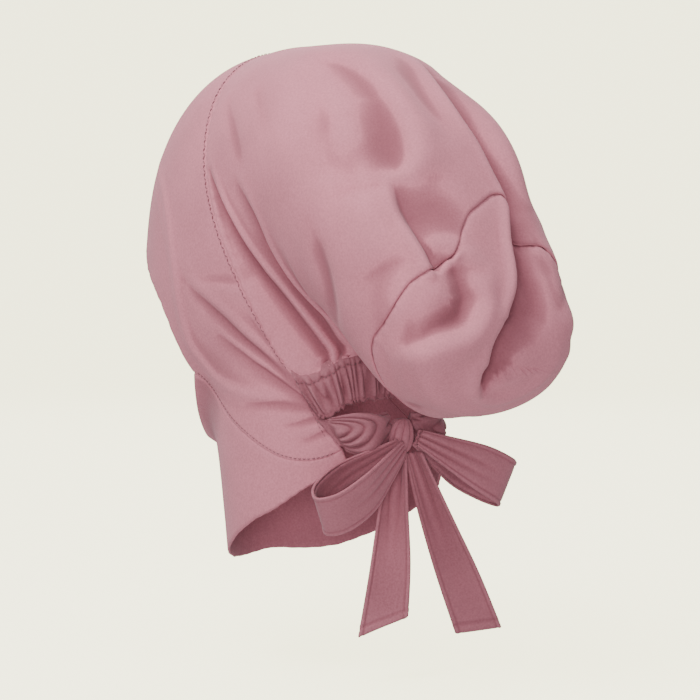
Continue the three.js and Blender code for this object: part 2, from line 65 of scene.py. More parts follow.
MILLIMETRE = 0.001
TURN = 2 * math.pi


# Sizes and colours
class CapSizes(bpy.types.PropertyGroup):
    """The cap's sizes."""

    head_width: FloatProperty(
        name="Head width",
        description="Width of the head that the cap is cut for",
        default=0.146,
        unit="LENGTH",
    )
    head_depth: FloatProperty(
        name="Head depth",
        description="From the brow to the back of the head",
        default=0.192,
        unit="LENGTH",
    )
    head_height: FloatProperty(
        name="Head height",
        description="From the top of the head to under the chin",
        default=0.224,
        unit="LENGTH",
    )
    neck_width: FloatProperty(
        name="Neck width",
        description="Width and depth of the neck",
        default=0.124,
        unit="LENGTH",
    )
    wall: FloatProperty(
        name="Cloth",
        description="Thickness of the doubled jersey",
        default=0.0015,
        unit="LENGTH",
    )
    bag_behind: FloatProperty(
        name="Bag behind",
        description="From the back of the head to the back of the bag",
        default=0.092,
        unit="LENGTH",
    )
    bag_sag: FloatProperty(
        name="Bag sag",
        description="From the seam at the nape to the lowest point of the bag",
        default=0.031,
        unit="LENGTH",
    )
    bag_puff: FloatProperty(
        name="Bag puff",
        description="How far the bag stands out at each side of the head",
        default=0.011,
        unit="LENGTH",
    )
    casing_height: FloatProperty(
        name="Casing height",
        description="Height of the elastic casing at the nape",
        default=0.025,
        unit="LENGTH",
    )
    tie_width: FloatProperty(
        name="Tie width",
        description="Width of the ties",
        default=0.026,
        unit="LENGTH",
    )
    tail_drop: FloatProperty(
        name="Tail drop",
        description="Length of the bow's tails below the knot",
        default=0.101,
        unit="LENGTH",
    )
    loop_reach: FloatProperty(
        name="Loop reach",
        description="Length of the bow's loops",
        default=0.065,
        unit="LENGTH",
    )
    stitch_pitch: FloatProperty(
        name="Stitch",
        description="From one stitch of the topstitching to the next",
        default=0.0026,
        unit="LENGTH",
    )
    columns: IntProperty(
        name="Columns",
        description="Faces round each large panel",
        default=400,
        min=60,
        max=400,
    )


class CapColours(bpy.types.PropertyGroup):
    """The cap's colours."""

    jersey: FloatVectorProperty(
        name="Jersey",
        description="Colour of the cloth",
        default=(0.43, 0.15, 0.187),
        size=3,
        subtype="COLOR",
        min=0,
        max=1,
    )
    # painted shade: the darker colour that the cloth is mixed towards in its creases, where shadow
    # falls
    painted_fold_shade: FloatVectorProperty(
        name="Painted fold shade",
        description="Colour of the cloth deep in its folds",
        default=(0.15, 0.041, 0.055),
        size=3,
        subtype="COLOR",
        min=0,
        max=1,
    )
    thread: FloatVectorProperty(
        name="Thread",
        description="Colour of the topstitching",
        default=(0.15, 0.035, 0.05),
        size=3,
        subtype="COLOR",
        min=0,
        max=1,
    )
    floor: FloatVectorProperty(
        name="Floor",
        description="Colour of the studio floor",
        default=(0.32, 0.315, 0.305),
        size=3,
        subtype="COLOR",
        min=0,
        max=1,
    )


def sizes():
    return bpy.context.scene.cap_sizes


def colours():
    return bpy.context.scene.cap_colours


# Shared sums
def mix(a, b, t):
    return a + (b - a) * t


def ramp(value, low, high):
    """0 below low and 1 above high, with a smooth step between."""
    t = np.clip((value - low) / (high - low), 0, 1)
    return t * t * (3 - 2 * t)


def unit(vectors):
    return vectors / np.maximum(np.linalg.norm(vectors, axis=-1, keepdims=True), 1e-9)


def curve(a, b, c, d, t):
    """The smooth curve from b to c, for t from 0 to 1, that comes from a and goes on to d."""
    slope_b = (c - a) / 2
    slope_c = (d - b) / 2
    return (
        b
        + slope_b * t
        + (3 * (c - b) - 2 * slope_b - slope_c) * t**2
        + (2 * (b - c) + slope_b + slope_c) * t**3
    )


def spline(points, t, closed=False):
    """Points on the smooth curve through the given ones, for t from 0 to 1."""
    points = np.asarray(points, float)
    count = len(points)
    t = np.asarray(t, float)
    if closed:
        place = (t % 1) * count
        step = np.floor(place).astype(int)
        a, b, c, d = (points[(step + k) % count] for k in (-1, 0, 1, 2))
    else:
        ends = np.concatenate(
            [[2 * points[0] - points[1]], points, [2 * points[-1] - points[-2]]]
        )
        place = np.clip(t, 0, 1) * (count - 1)
        step = np.minimum(np.floor(place).astype(int), count - 2)
        a, b, c, d = (ends[step + k] for k in (0, 1, 2, 3))
    return curve(a, b, c, d, (place - step)[..., None])


def lookup(rows, t, closed=False):
    """A smooth value for t out of rows of values at equal steps."""
    return spline(np.array(rows, float)[:, None], t, closed)[..., 0]


# The head as three round forms seen from its middle: skull, jaw and neck. Millimetres.
class Head:
    """The form that the cap is fitted to, from the sizes."""

    def __init__(self):
        s = sizes()
        self.width = s.head_width / MILLIMETRE
        self.depth = s.head_depth / MILLIMETRE
        self.height = s.head_height / MILLIMETRE
        self.neck = s.neck_width / MILLIMETRE
        self.wall = s.wall / MILLIMETRE
        self.middle = np.array([0, 0, -0.49 * self.height])
        self.skull = np.array([self.width / 2, self.depth / 2, 0.49 * self.height])
        self.jaw = np.array([0.44 * self.width, 0.345 * self.depth, 0.366 * self.height])
        self.jaw_place = np.array([0, -0.14 * self.depth, -0.17 * self.height])
        self.neck_back = 0.085 * self.depth
        self.scale = np.array([self.width / 2, self.depth / 2, -self.height])

    def place(self, rows):
        """Points from rows of side, back and down, as shares of the head."""
        return np.array(rows, float) * self.scale

    def reach(self, d):
        """How far the head's surface is from its middle, the way that d points."""
        level = np.hypot(d[..., 0] / self.skull[0], d[..., 1] / self.skull[1])
        power = np.where(d[..., 2] > 0, CROWN_FULLNESS, 2)
        rise = np.abs(d[..., 2] / self.skull[2])
        skull = (level**power + rise**power) ** (-1 / power)
        jaw = way_out(d / self.jaw, -self.jaw_place / self.jaw)
        flat = np.stack([d[..., 0], d[..., 1] + NECK_LEAN * d[..., 2], 0 * d[..., 2]], -1)
        start = np.array([0, -self.neck_back, 0]) / (self.neck / 2)
        fade = 1 - ramp(d[..., 2], -0.3, 0)
        neck = np.where(d[..., 2] < 0, fade * way_out(flat / (self.neck / 2), start), 0)
        return (skull**BLEND_POWER + jaw**BLEND_POWER + neck**BLEND_POWER) ** (
            1 / BLEND_POWER
        )

    def on(self, points, lift=0.0):
        """The points of the head under the given ones, raised by lift."""
        d = unit(points - self.middle)
        return self.middle + d * (self.reach(d) + lift)[..., None]


CROWN_FULLNESS = 2.15
BLEND_POWER = 14
NECK_LEAN = 0.14
EASE = 0.8  # from the skin to the inside of the cloth


def way_out(direction, start):
    """The larger root t of |start + t direction| = 1."""
    a = np.maximum((direction * direction).sum(-1), 1e-12)
    b = (direction * start).sum(-1)
    c = (start * start).sum(-1) - 1
    return (-b + np.sqrt(np.maximum(b * b - a * c, 0))) / a


# Panel edges on the head's left half, from the middle round to the back, as side, back and down
CROWN_SEAM = [
    (0, -0.06, 0),
    (0.4, -0.06, 0.04),
    (0.7, -0.03, 0.12),
    (0.93, 0.08, 0.27),
    (1, 0.24, 0.43),
    (0.93, 0.45, 0.615),
    (0.71, 0.67, 0.796),
    (0.4, 0.9, 0.768),
    (0, 0.99, 0.755),
]
CASING_START = 6 / 16
CHEEK_CORNER = (0.86, -0.12, 0.81)
BAND_END = (0.47, 0.9, 0.99)
CASING_END = CROWN_SEAM[6]
FOREHEAD_EDGE = [
    (0, -0.97, 0.36),
    (0.32, -0.92, 0.385),
    (0.6, -0.8, 0.45),
    (0.84, -0.6, 0.535),
    (0.95, -0.33, 0.64),
    CHEEK_CORNER,
]
CHIN_EDGE = [
    (0, -0.56, 1.01),
    (0.3, -0.49, 1),
    (0.56, -0.34, 0.965),
    (0.74, -0.22, 0.895),
    CHEEK_CORNER,
]
CHIN_SEAM = [
    CHEEK_CORNER,
    (0.865, 0.16, 0.9),
    (0.86, 0.42, 0.965),
    (0.75, 0.67, 1.01),
    BAND_END,
]
HEM_EDGE = [
    (0, -0.21, 1.235),
    (0.33, -0.15, 1.23),
    (0.62, 0.01, 1.21),
    (0.8, 0.22, 1.19),
    (0.86, 0.42, 1.165),
    (0.82, 0.58, 1.13),
    (0.72, 0.73, 1.085),
    (0.58, 0.84, 1.045),
    (0.44, 0.91, 1.015),
]


def mirrored(rows):
    return [(-side, back, down) for side, back, down in rows]


def both_halves(rows):
    return mirrored(rows[:0:-1]) + list(rows)


def crown_seam(head, around):
    """The seam between the band and the bag, from the top over the left side."""
    ring = CROWN_SEAM + mirrored(CROWN_SEAM[-2:0:-1])
    return spline(head.place(ring), around, closed=True)


def split_edge(head, rows, along):
    """An edge that follows rows for half the way out from the middle and then the chin seam."""
    out = np.abs(along)
    near = spline(head.place(both_halves(rows)), 0.5 + np.clip(along, -0.5, 0.5))
    left = spline(head.place(CHIN_SEAM), 2 * out - 1)
    far = left * np.stack([np.where(along < 0, -1, 1), 1 + 0 * out, 1 + 0 * out], -1)
    return np.where((out <= 0.5)[..., None], near, far)


# Folds
FOLD_REACH = 3.2  # widths away from its line where a fold ends
LIP_OUT = 2.1  # widths of its narrow side from a fold's line to its lip
LIP_WIDE = 1.3


def fold_depths(folds, spots, normals, place):
    """Depth that folds take off the cloth at spots on it, in millimetres.

    Each fold is a path of places, its widths on the right and on the left of the path, its
    depths along the path, how sharp its line is (2 for a soft fold, 1 for a crease), and its
    lip: the roll of cloth that stands up on its narrow side, as a share of its depth."""
    depth = np.zeros(spots.shape[:-1])
    for path, right, left, depths, power, lip in folds:
        path = np.array(path, float)
        smooth = spline(path, np.linspace(0, 1, 6 * (len(path) - 1) + 1))
        line = place(smooth[:, 0], smooth[:, 1])
        reach = FOLD_REACH * max(right, left)
        inside = ((spots > line.min(0) - reach) & (spots < line.max(0) + reach)).all(-1)
        here = spots[inside]
        out = normals[inside]
        nearest = np.full(len(here), np.inf)
        on_left = np.zeros(len(here), bool)
        share = np.zeros(len(here))
        for i in range(len(line) - 1):
            step = line[i + 1] - line[i]
            offset = here - line[i]
            t = np.clip((offset @ step) / max(step @ step, 1e-9), 0, 1)
            distance = np.linalg.norm(offset - t[:, None] * step, axis=1)
            closer = distance < nearest
            nearest = np.where(closer, distance, nearest)
            turned = (np.cross(step, offset) * out).sum(-1) > 0
            on_left = np.where(closer, turned, on_left)
            share = np.where(closer, (i + t) / (len(line) - 1), share)
        deep = lookup(depths, share)
        width = np.where(on_left, left, right)
        taken = deep * np.exp(-((nearest / width) ** power))
        if lip:
            narrow = min(right, left)
            on_narrow = on_left == (left < right)
            roll = np.exp(-(((nearest - LIP_OUT * narrow) / (LIP_WIDE * narrow)) ** 2))
            taken -= lip * deep * np.where(on_narrow, roll, 0)
        depth[inside] += taken
    return depth


def ripple(along, away, pitch, height, reach, seed):
    """Small puckers along a seam: along and away are millimetres along it and from it."""
    rng = np.random.default_rng(seed)
    wave = np.zeros(np.shape(along))
    for _ in range(4):
        length = pitch * rng.uniform(0.7, 1.6)
        wave += np.sin(TURN * along / length + rng.uniform(0, TURN))
    return height * wave / 2 * np.exp(-np.abs(away) / reach)


# Meshes
def grid_normals(grid, ring):
    """Unit normals of a grid of points, rows first."""
    if ring:
        along_u = np.roll(grid, -1, 1) - np.roll(grid, 1, 1)
    else:
        along_u = np.gradient(grid, axis=1)
    along_v = np.gradient(grid, axis=0)
    return unit(np.cross(along_u, along_v))


def outward(grid, ring, inside):
    """Unit normals of the grid that point away from what lies inside it."""
    normals = grid_normals(grid, ring)
    return -normals if (normals * (grid - inside)).sum() < 0 else normals


def raised(grid, lift, inside, ring):
    """The grid moved out along its normals."""
    return grid + outward(grid, ring, inside) * lift[..., None]


def shifted(grid, rows, columns, ring):
    """The grid moved by some rows and columns, with its edges repeated."""
    moved = np.take(grid, np.clip(np.arange(len(grid)) + rows, 0, len(grid) - 1), 0)
    places = np.arange(grid.shape[1]) + columns
    places = places % grid.shape[1] if ring else np.clip(places, 0, grid.shape[1] - 1)
    return np.take(moved, places, 1)


HOLLOW_REACHES = ((2, 2.6), (4, 1.3), (8, 0.5), (16, 0.16))  # faces to a neighbour, and weight


def hollows(grid, normals, ring):
    """How deep each point lies below its neighbours: below 0 on a ridge, above 0 in a crease."""
    total = np.zeros(grid.shape[:2])
    for reach, weight in HOLLOW_REACHES:
        mean = np.zeros(grid.shape)
        for rows, columns in ((reach, 0), (-reach, 0), (0, reach), (0, -reach)):
            mean += shifted(grid, rows, columns, ring) / 4
        total += weight * ((mean - grid) * normals).sum(-1)
    return total


def new_piece(name, points, faces, uvs, shade, nodes=()):
    """Makes an object out of points in millimetres, and puts it in the frame."""
    mesh = bpy.data.meshes.new(name)
    mesh.from_pydata((np.asarray(points) * MILLIMETRE).tolist(), [], faces)
    mesh.polygons.foreach_set("use_smooth", np.ones(len(mesh.polygons), bool))
    if uvs is not None:
        layer = mesh.uv_layers.new(name="Cloth")
        layer.data.foreach_set("uv", np.asarray(uvs, np.float32).ravel())
    # the shade painted into the cloth's colour goes into a point attribute: above 0 it darkens
    # creases, below 0 it lightens ridges
    if shade is not None:
        painted_fold_shade = mesh.attributes.new("painted_fold_shade", "FLOAT", "POINT")
        painted_fold_shade.data.foreach_set("value", np.asarray(shade, np.float32).ravel())
    mesh.validate()
    piece = bpy.data.objects.new(name, mesh)
    bpy.context.collection.objects.link(piece)
    if nodes:
        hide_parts(*nodes)
    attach(piece, "root")
    return piece


def framed(grid, border, ring, start, end):
    """The grid with a border of points round it, at the sides of a ring only where asked."""
    top, bottom, left, right = border
    out = grid
    if not ring:
        out = np.concatenate([left[:, None], out, right[:, None]], 1)
    rows = [out]
    if start:
        rows.insert(0, top[None])
    if end:
        rows.append(bottom[None])
    return np.concatenate(rows, 0)


def grid_quads(place, columns, flip):
    """Quads between the points numbered in place, and each corner's row and column."""
    rows, across = place.shape
    j, i = np.mgrid[0 : rows - 1, 0:columns]
    after = (i + 1) % across
    quads = np.stack([place[j, i], place[j, after], place[j + 1, after], place[j + 1, i]], -1)
    spots = np.stack([(j, i), (j, i + 1), (j + 1, i + 1), (j + 1, i)], 0).transpose(2, 3, 0, 1)
    order = [0, 3, 2, 1] if flip else [0, 1, 2, 3]
    return quads.reshape(-1, 4)[:, order], spots.reshape(-1, 4, 2)[:, order]


def runs_inward(grid, normals):
    """Whether quads that follow the grid's columns and rows would face inward."""
    corner = grid[1, 0]
    return (np.cross(grid[1, 1] - corner, grid[2, 0] - corner) * normals[1, 0]).sum() < 0


# painted shade: a fold this deep gets the full darkening of the cloth's colour
DARK_DEPTH = 5.5  # of a fold whose floor is dark, in millimetres
BEND_SHADE = 0.6  # how much a grid's own bends count in its shade
SHADE_GAIN = 1.5
TIP_FADE = (4, 16)  # millimetres from a tip, between which the shade of bends fades in
EDGE_OUT = 0.45  # how far a rounded edge stands out, in walls


def softened(shade):
    """The shade held between -1 and 1."""
    return SHADE_GAIN * shade / (1 + SHADE_GAIN * np.abs(shade))


def cloth_piece(
    name, grid, uv_grid, wall, inside, nodes=(), ring=False, tip=False, depth=0.0
):
    """A closed wall of cloth from the grid of its outer face, with rounded edges.

    A ring's uv_grid has one more column than its grid, so that the weave goes on over the join.
    The depth of the folds and the grid's own bends give its painted shade: the cloth's colour
    darkens in the creases and lightens on the ridges."""
    normals = outward(grid, ring, inside)
    if tip:
        normals[-1] = unit(normals[-2].mean(0))
    bends = BEND_SHADE * hollows(grid, normals, ring)
    if tip:
        bends *= ramp(np.linalg.norm(grid - grid[-1, 0], axis=-1), *TIP_FADE)
    shade = softened(bends + depth / DARK_DEPTH)
    inner = grid - wall * normals
    middle = (grid + inner) / 2

    def rim(row, before):
        return middle[row] + unit(grid[row] - grid[before]) * EDGE_OUT * wall

    top = rim(0, 1)
    bottom = rim(-1, -2)
    left = middle[:, 0] + unit(grid[:, 0] - grid[:, 1]) * EDGE_OUT * wall
    right = middle[:, -1] + unit(grid[:, -1] - grid[:, -2]) * EDGE_OUT * wall
    if not ring:
        top = np.concatenate([[(top[0] + left[0]) / 2], top, [(top[-1] + right[0]) / 2]])
        bottom = np.concatenate(
            [[(bottom[0] + left[-1]) / 2], bottom, [(bottom[-1] + right[-1]) / 2]]
        )
    border = (top, bottom, left, right)
    outer_points = framed(grid, border, ring, True, not tip)
    inner_points = framed(inner, border, ring, True, not tip)
    rows, across = outer_points.shape[:2]
    outer_place = np.arange(rows * across).reshape(rows, across)
    inner_place = outer_place + rows * across
    inner_place[0] = outer_place[0]
    if not tip:
        inner_place[-1] = outer_place[-1]
    if not ring:
        inner_place[:, 0] = outer_place[:, 0]
        inner_place[:, -1] = outer_place[:, -1]
    edge_shade = np.zeros(outer_points.shape[:2])
    body = (slice(1, rows if tip else rows - 1), slice(0 if ring else 1, across if ring else -1))
    outer_shade = edge_shade.copy()
    outer_shade[body] = shade
    # the inner face takes the opposite painted shade
    inner_shade = edge_shade.copy()
    inner_shade[body] = -shade

    columns = across if ring else across - 1
    turned = runs_inward(grid, normals)
    faces = []
    spots = []
    for place, flip in ((outer_place, turned), (inner_place, not turned)):
        place = place.copy()
        if tip:
            place[-1] = place[-1, 0]
        quads, where = grid_quads(place, columns, flip)
        for quad, spot in zip(quads.tolist(), where.tolist()):
            keep = [k for k in range(4) if quad[k] != quad[k - 1]]
            faces.append([quad[k] for k in keep])
            spots.extend(spot[k] for k in keep)

    spots = np.array(spots)
    low_column = 0 if ring else 1
    row = np.clip(spots[:, 0] - 1, 0, uv_grid.shape[0] - 1)
    column = np.clip(spots[:, 1] - low_column, 0, uv_grid.shape[1] - 1)
    points = np.concatenate([outer_points.reshape(-1, 3), inner_points.reshape(-1, 3)])
    shades = np.concatenate([outer_shade.ravel(), inner_shade.ravel()])
    used, flat = np.unique(np.concatenate(faces), return_inverse=True)
    counts = np.cumsum([0] + [len(face) for face in faces])
    faces = [flat[a:b].tolist() for a, b in zip(counts[:-1], counts[1:])]
    uvs = uv_grid[row, column]
    return new_piece(name, points[used], faces, uvs, shades[used], nodes)


def solid_piece(name, grid, uv_grid, nodes=()):
    """A closed body from rings of points, with a round end at the first and the last ring."""
    rows, across = grid.shape[:2]
    normals = outward(grid, True, grid.mean((0, 1)))
    # painted shade from the body's own bends: darker in creases, lighter on ridges
    shade = softened(BEND_SHADE * hollows(grid, normals, True))
    points = np.concatenate([grid.reshape(-1, 3), [grid[0].mean(0)], [grid[-1].mean(0)]])
    shades = np.concatenate([shade.ravel(), [0, 0]])
    place = np.arange(rows * across).reshape(rows, across)
    turned = runs_inward(grid, normals)
    quads, where = grid_quads(place, across, turned)
    faces = quads.tolist()
    spots = where.reshape(-1, 2).tolist()
    for c in range(across):
        n = (c + 1) % across
        fans = [
            (place[0, n], place[0, c], rows * across),
            (place[-1, c], place[-1, n], rows * across + 1),
        ]
        places = [((0, c + 1), (0, c), (0, c)), ((rows - 1, c), (rows - 1, c + 1), (rows - 1, c))]
        for fan, spot in zip(fans, places):
            faces.append([int(k) for k in (fan[::-1] if turned else fan)])
            spots.extend(spot[::-1] if turned else spot)
    spots = np.array(spots)
    return new_piece(name, points, faces, uv_grid[spots[:, 0], spots[:, 1]], shades, nodes)


def stitches(name, line, normals, slot_name, length=1.9, thick=0.27, zigzag=0.0):
    """Topstitching: short threads laid on the cloth along a line, each sunk at its two ends."""
    pitch = sizes().stitch_pitch / MILLIMETRE
    steps = np.linalg.norm(np.diff(line, axis=0), axis=1)
    along = np.concatenate([[0], np.cumsum(steps)])
    count = int(along[-1] / pitch)
    rings = 7
    sides = 6
    turns = TURN * np.arange(sides) / sides
    points = []
    faces = []
    for n in range(count):
        middle = (n + 0.5) * pitch
        places = middle + length / 2 * np.linspace(-1, 1, rings)
        centre = np.stack([np.interp(places, along, line[:, k]) for k in range(3)], -1)
        out = unit(np.stack([np.interp(places, along, normals[:, k]) for k in range(3)], -1))
        ahead = unit(np.gradient(centre, axis=0))
        side = np.cross(out, ahead)
        bend = np.linspace(-1, 1, rings)
        centre = centre + out * (thick * (1.1 - 1.9 * bend**4))[:, None]
        centre = centre + side * (zigzag * (-1) ** n * bend)[:, None]
        radius = thick * np.sqrt(np.clip(1 - (bend * 0.97) ** 6, 0.02, 1))
        loop = (
            centre[:, None]
            + side[:, None] * (radius[:, None] * np.cos(turns))[..., None]
            + out[:, None] * (radius[:, None] * np.sin(turns))[..., None]
        )
        first = len(points) * rings * sides
        points.append(loop.reshape(-1, 3))
        for r in range(rings - 1):
            for k in range(sides):
                a = first + r * sides + k
                b = first + r * sides + (k + 1) % sides
                faces.append([a, b, b + sides, a + sides])
        last = first + (rings - 1) * sides
        faces.append([first + k for k in range(sides)][::-1])
        faces.append([last + k for k in range(sides)])
    piece = new_piece(name, np.concatenate(points), faces, None, None)
    piece.data.materials.append(bpy.data.materials["Thread"])
    return piece


def metric(a, b, unit_a, unit_b):
    """Places on the cloth in metres, for its weave."""
    return np.stack([a * unit_a, b * unit_b], -1) * MILLIMETRE


# The bag, in rings from the seam to the pole at its back. Each ring is top back, top down, low
# back, low down, wide, narrow and bow, as shares of the bag's reach, drop and half width.
BAG_ROWS = [
    (0.12, -0.02, 0.53, 0.85, 0.93, 0.6, -0.09),
    (0.36, -0.012, 0.58, 0.915, 0.97, 0.63, -0.04),
    (0.56, 0.078, 0.64, 0.968, 0.94, 0.72, -0.03),
    (0.71, 0.205, 0.68, 0.995, 0.87, 0.8, -0.01),
    (0.81, 0.36, 0.72, 1.005, 0.77, 0.85, 0.02),
    (0.89, 0.51, 0.8, 1, 0.72, 0.9, 0.03),
    (0.955, 0.66, 0.88, 0.97, 0.56, 1, 0.03),
]
NAPE_DOWN = 0.755  # from the top of the head to the seam at the nape, in heights of the head


class Bag:
    """The bag's smooth surface and the folds in it."""

    def __init__(self, head):
        s = sizes()
        self.head = head
        self.reach = head.depth / 2 + s.bag_behind / MILLIMETRE
        self.drop = NAPE_DOWN * head.height + s.bag_sag / MILLIMETRE
        self.half = head.width / 2 + s.bag_puff / MILLIMETRE
        self.pole = np.array([0, 0.965 * self.reach, -0.84 * self.drop])
        self.middle = np.array([0, 0.45 * self.reach, -0.48 * self.drop])
        self.round = 5.7 * self.half
        self.along = 1.28 * self.reach

    def ring(self, k, around):
        if k == 0:
            return self.head.on(crown_seam(self.head, around), EASE + self.head.wall)
        if k > len(BAG_ROWS):
            return np.broadcast_to(self.pole, np.shape(around) + (3,)).copy()
        top_back, top_down, low_back, low_down, wide, narrow, bow = BAG_ROWS[k - 1]
        top = np.array([0, top_back * self.reach, -top_down * self.drop])
        low = np.array([0, low_back * self.reach, -low_down * self.drop])
        cos = np.cos(TURN * around)
        sin = np.sin(TURN * around)
        lower = (1 - cos) / 2
        point = mix(top, low, lower[..., None])
        width = wide * self.half * mix(1, narrow, lower * lower)
        point[..., 0] += width * np.sign(sin) * np.abs(sin) ** 0.85
        backward = unit(np.array([0, top[2] - low[2], low[1] - top[1]]))
        return point + backward * (bow * self.reach * sin * sin)[..., None]

    def smooth(self, around, along):
        """The bag's surface before its folds."""
        steps = len(BAG_ROWS) + 1
        k = np.minimum(np.floor(along * steps).astype(int), steps - 1)
        out = np.zeros(np.shape(around) + (3,))
        for n in range(steps):
            here = k == n
            if not here.any():
                continue
            u = around[here]
            t = (along[here] * steps - n)[:, None]
            b = self.ring(n, u)
            c = self.ring(n + 1, u)
            a = 2 * b - c if n == 0 else self.ring(n - 1, u)
            d = self.ring(n, u + 0.5) if n + 2 > steps else self.ring(n + 2, u)
            out[here] = curve(a, b, c, d, t)
        return out

    def normals(self, around, along):
        step = 0.003
        across = self.smooth(around + step, along) - self.smooth(around - step, along)
        low = self.smooth(around, np.minimum(along + step, 1))
        down = low - self.smooth(around, np.maximum(along - step, 0))
        out = unit(np.cross(across, down))
        return out * np.sign((out * (low - self.middle)).sum(-1, keepdims=True))

    def face(self, around, along):
        """The bag's outer face with its folds, and their depth."""
        point = self.smooth(around, along)
        out = self.normals(around, along)
        depth = fold_depths(BAG_FOLDS, point, out, self.smooth)
        # the folds fade out at the seam, but run on in part into the casing
        nape = 1 - ramp(np.abs(around - 0.5), 0.09, 0.12)
        depth *= mix(0.45 * nape, 1, ramp(along, 0, 0.022))
        way = mix(-out, unit(self.middle - point), ramp(along, 0.9, 0.97)[..., None])
        return point + way * depth[..., None], depth


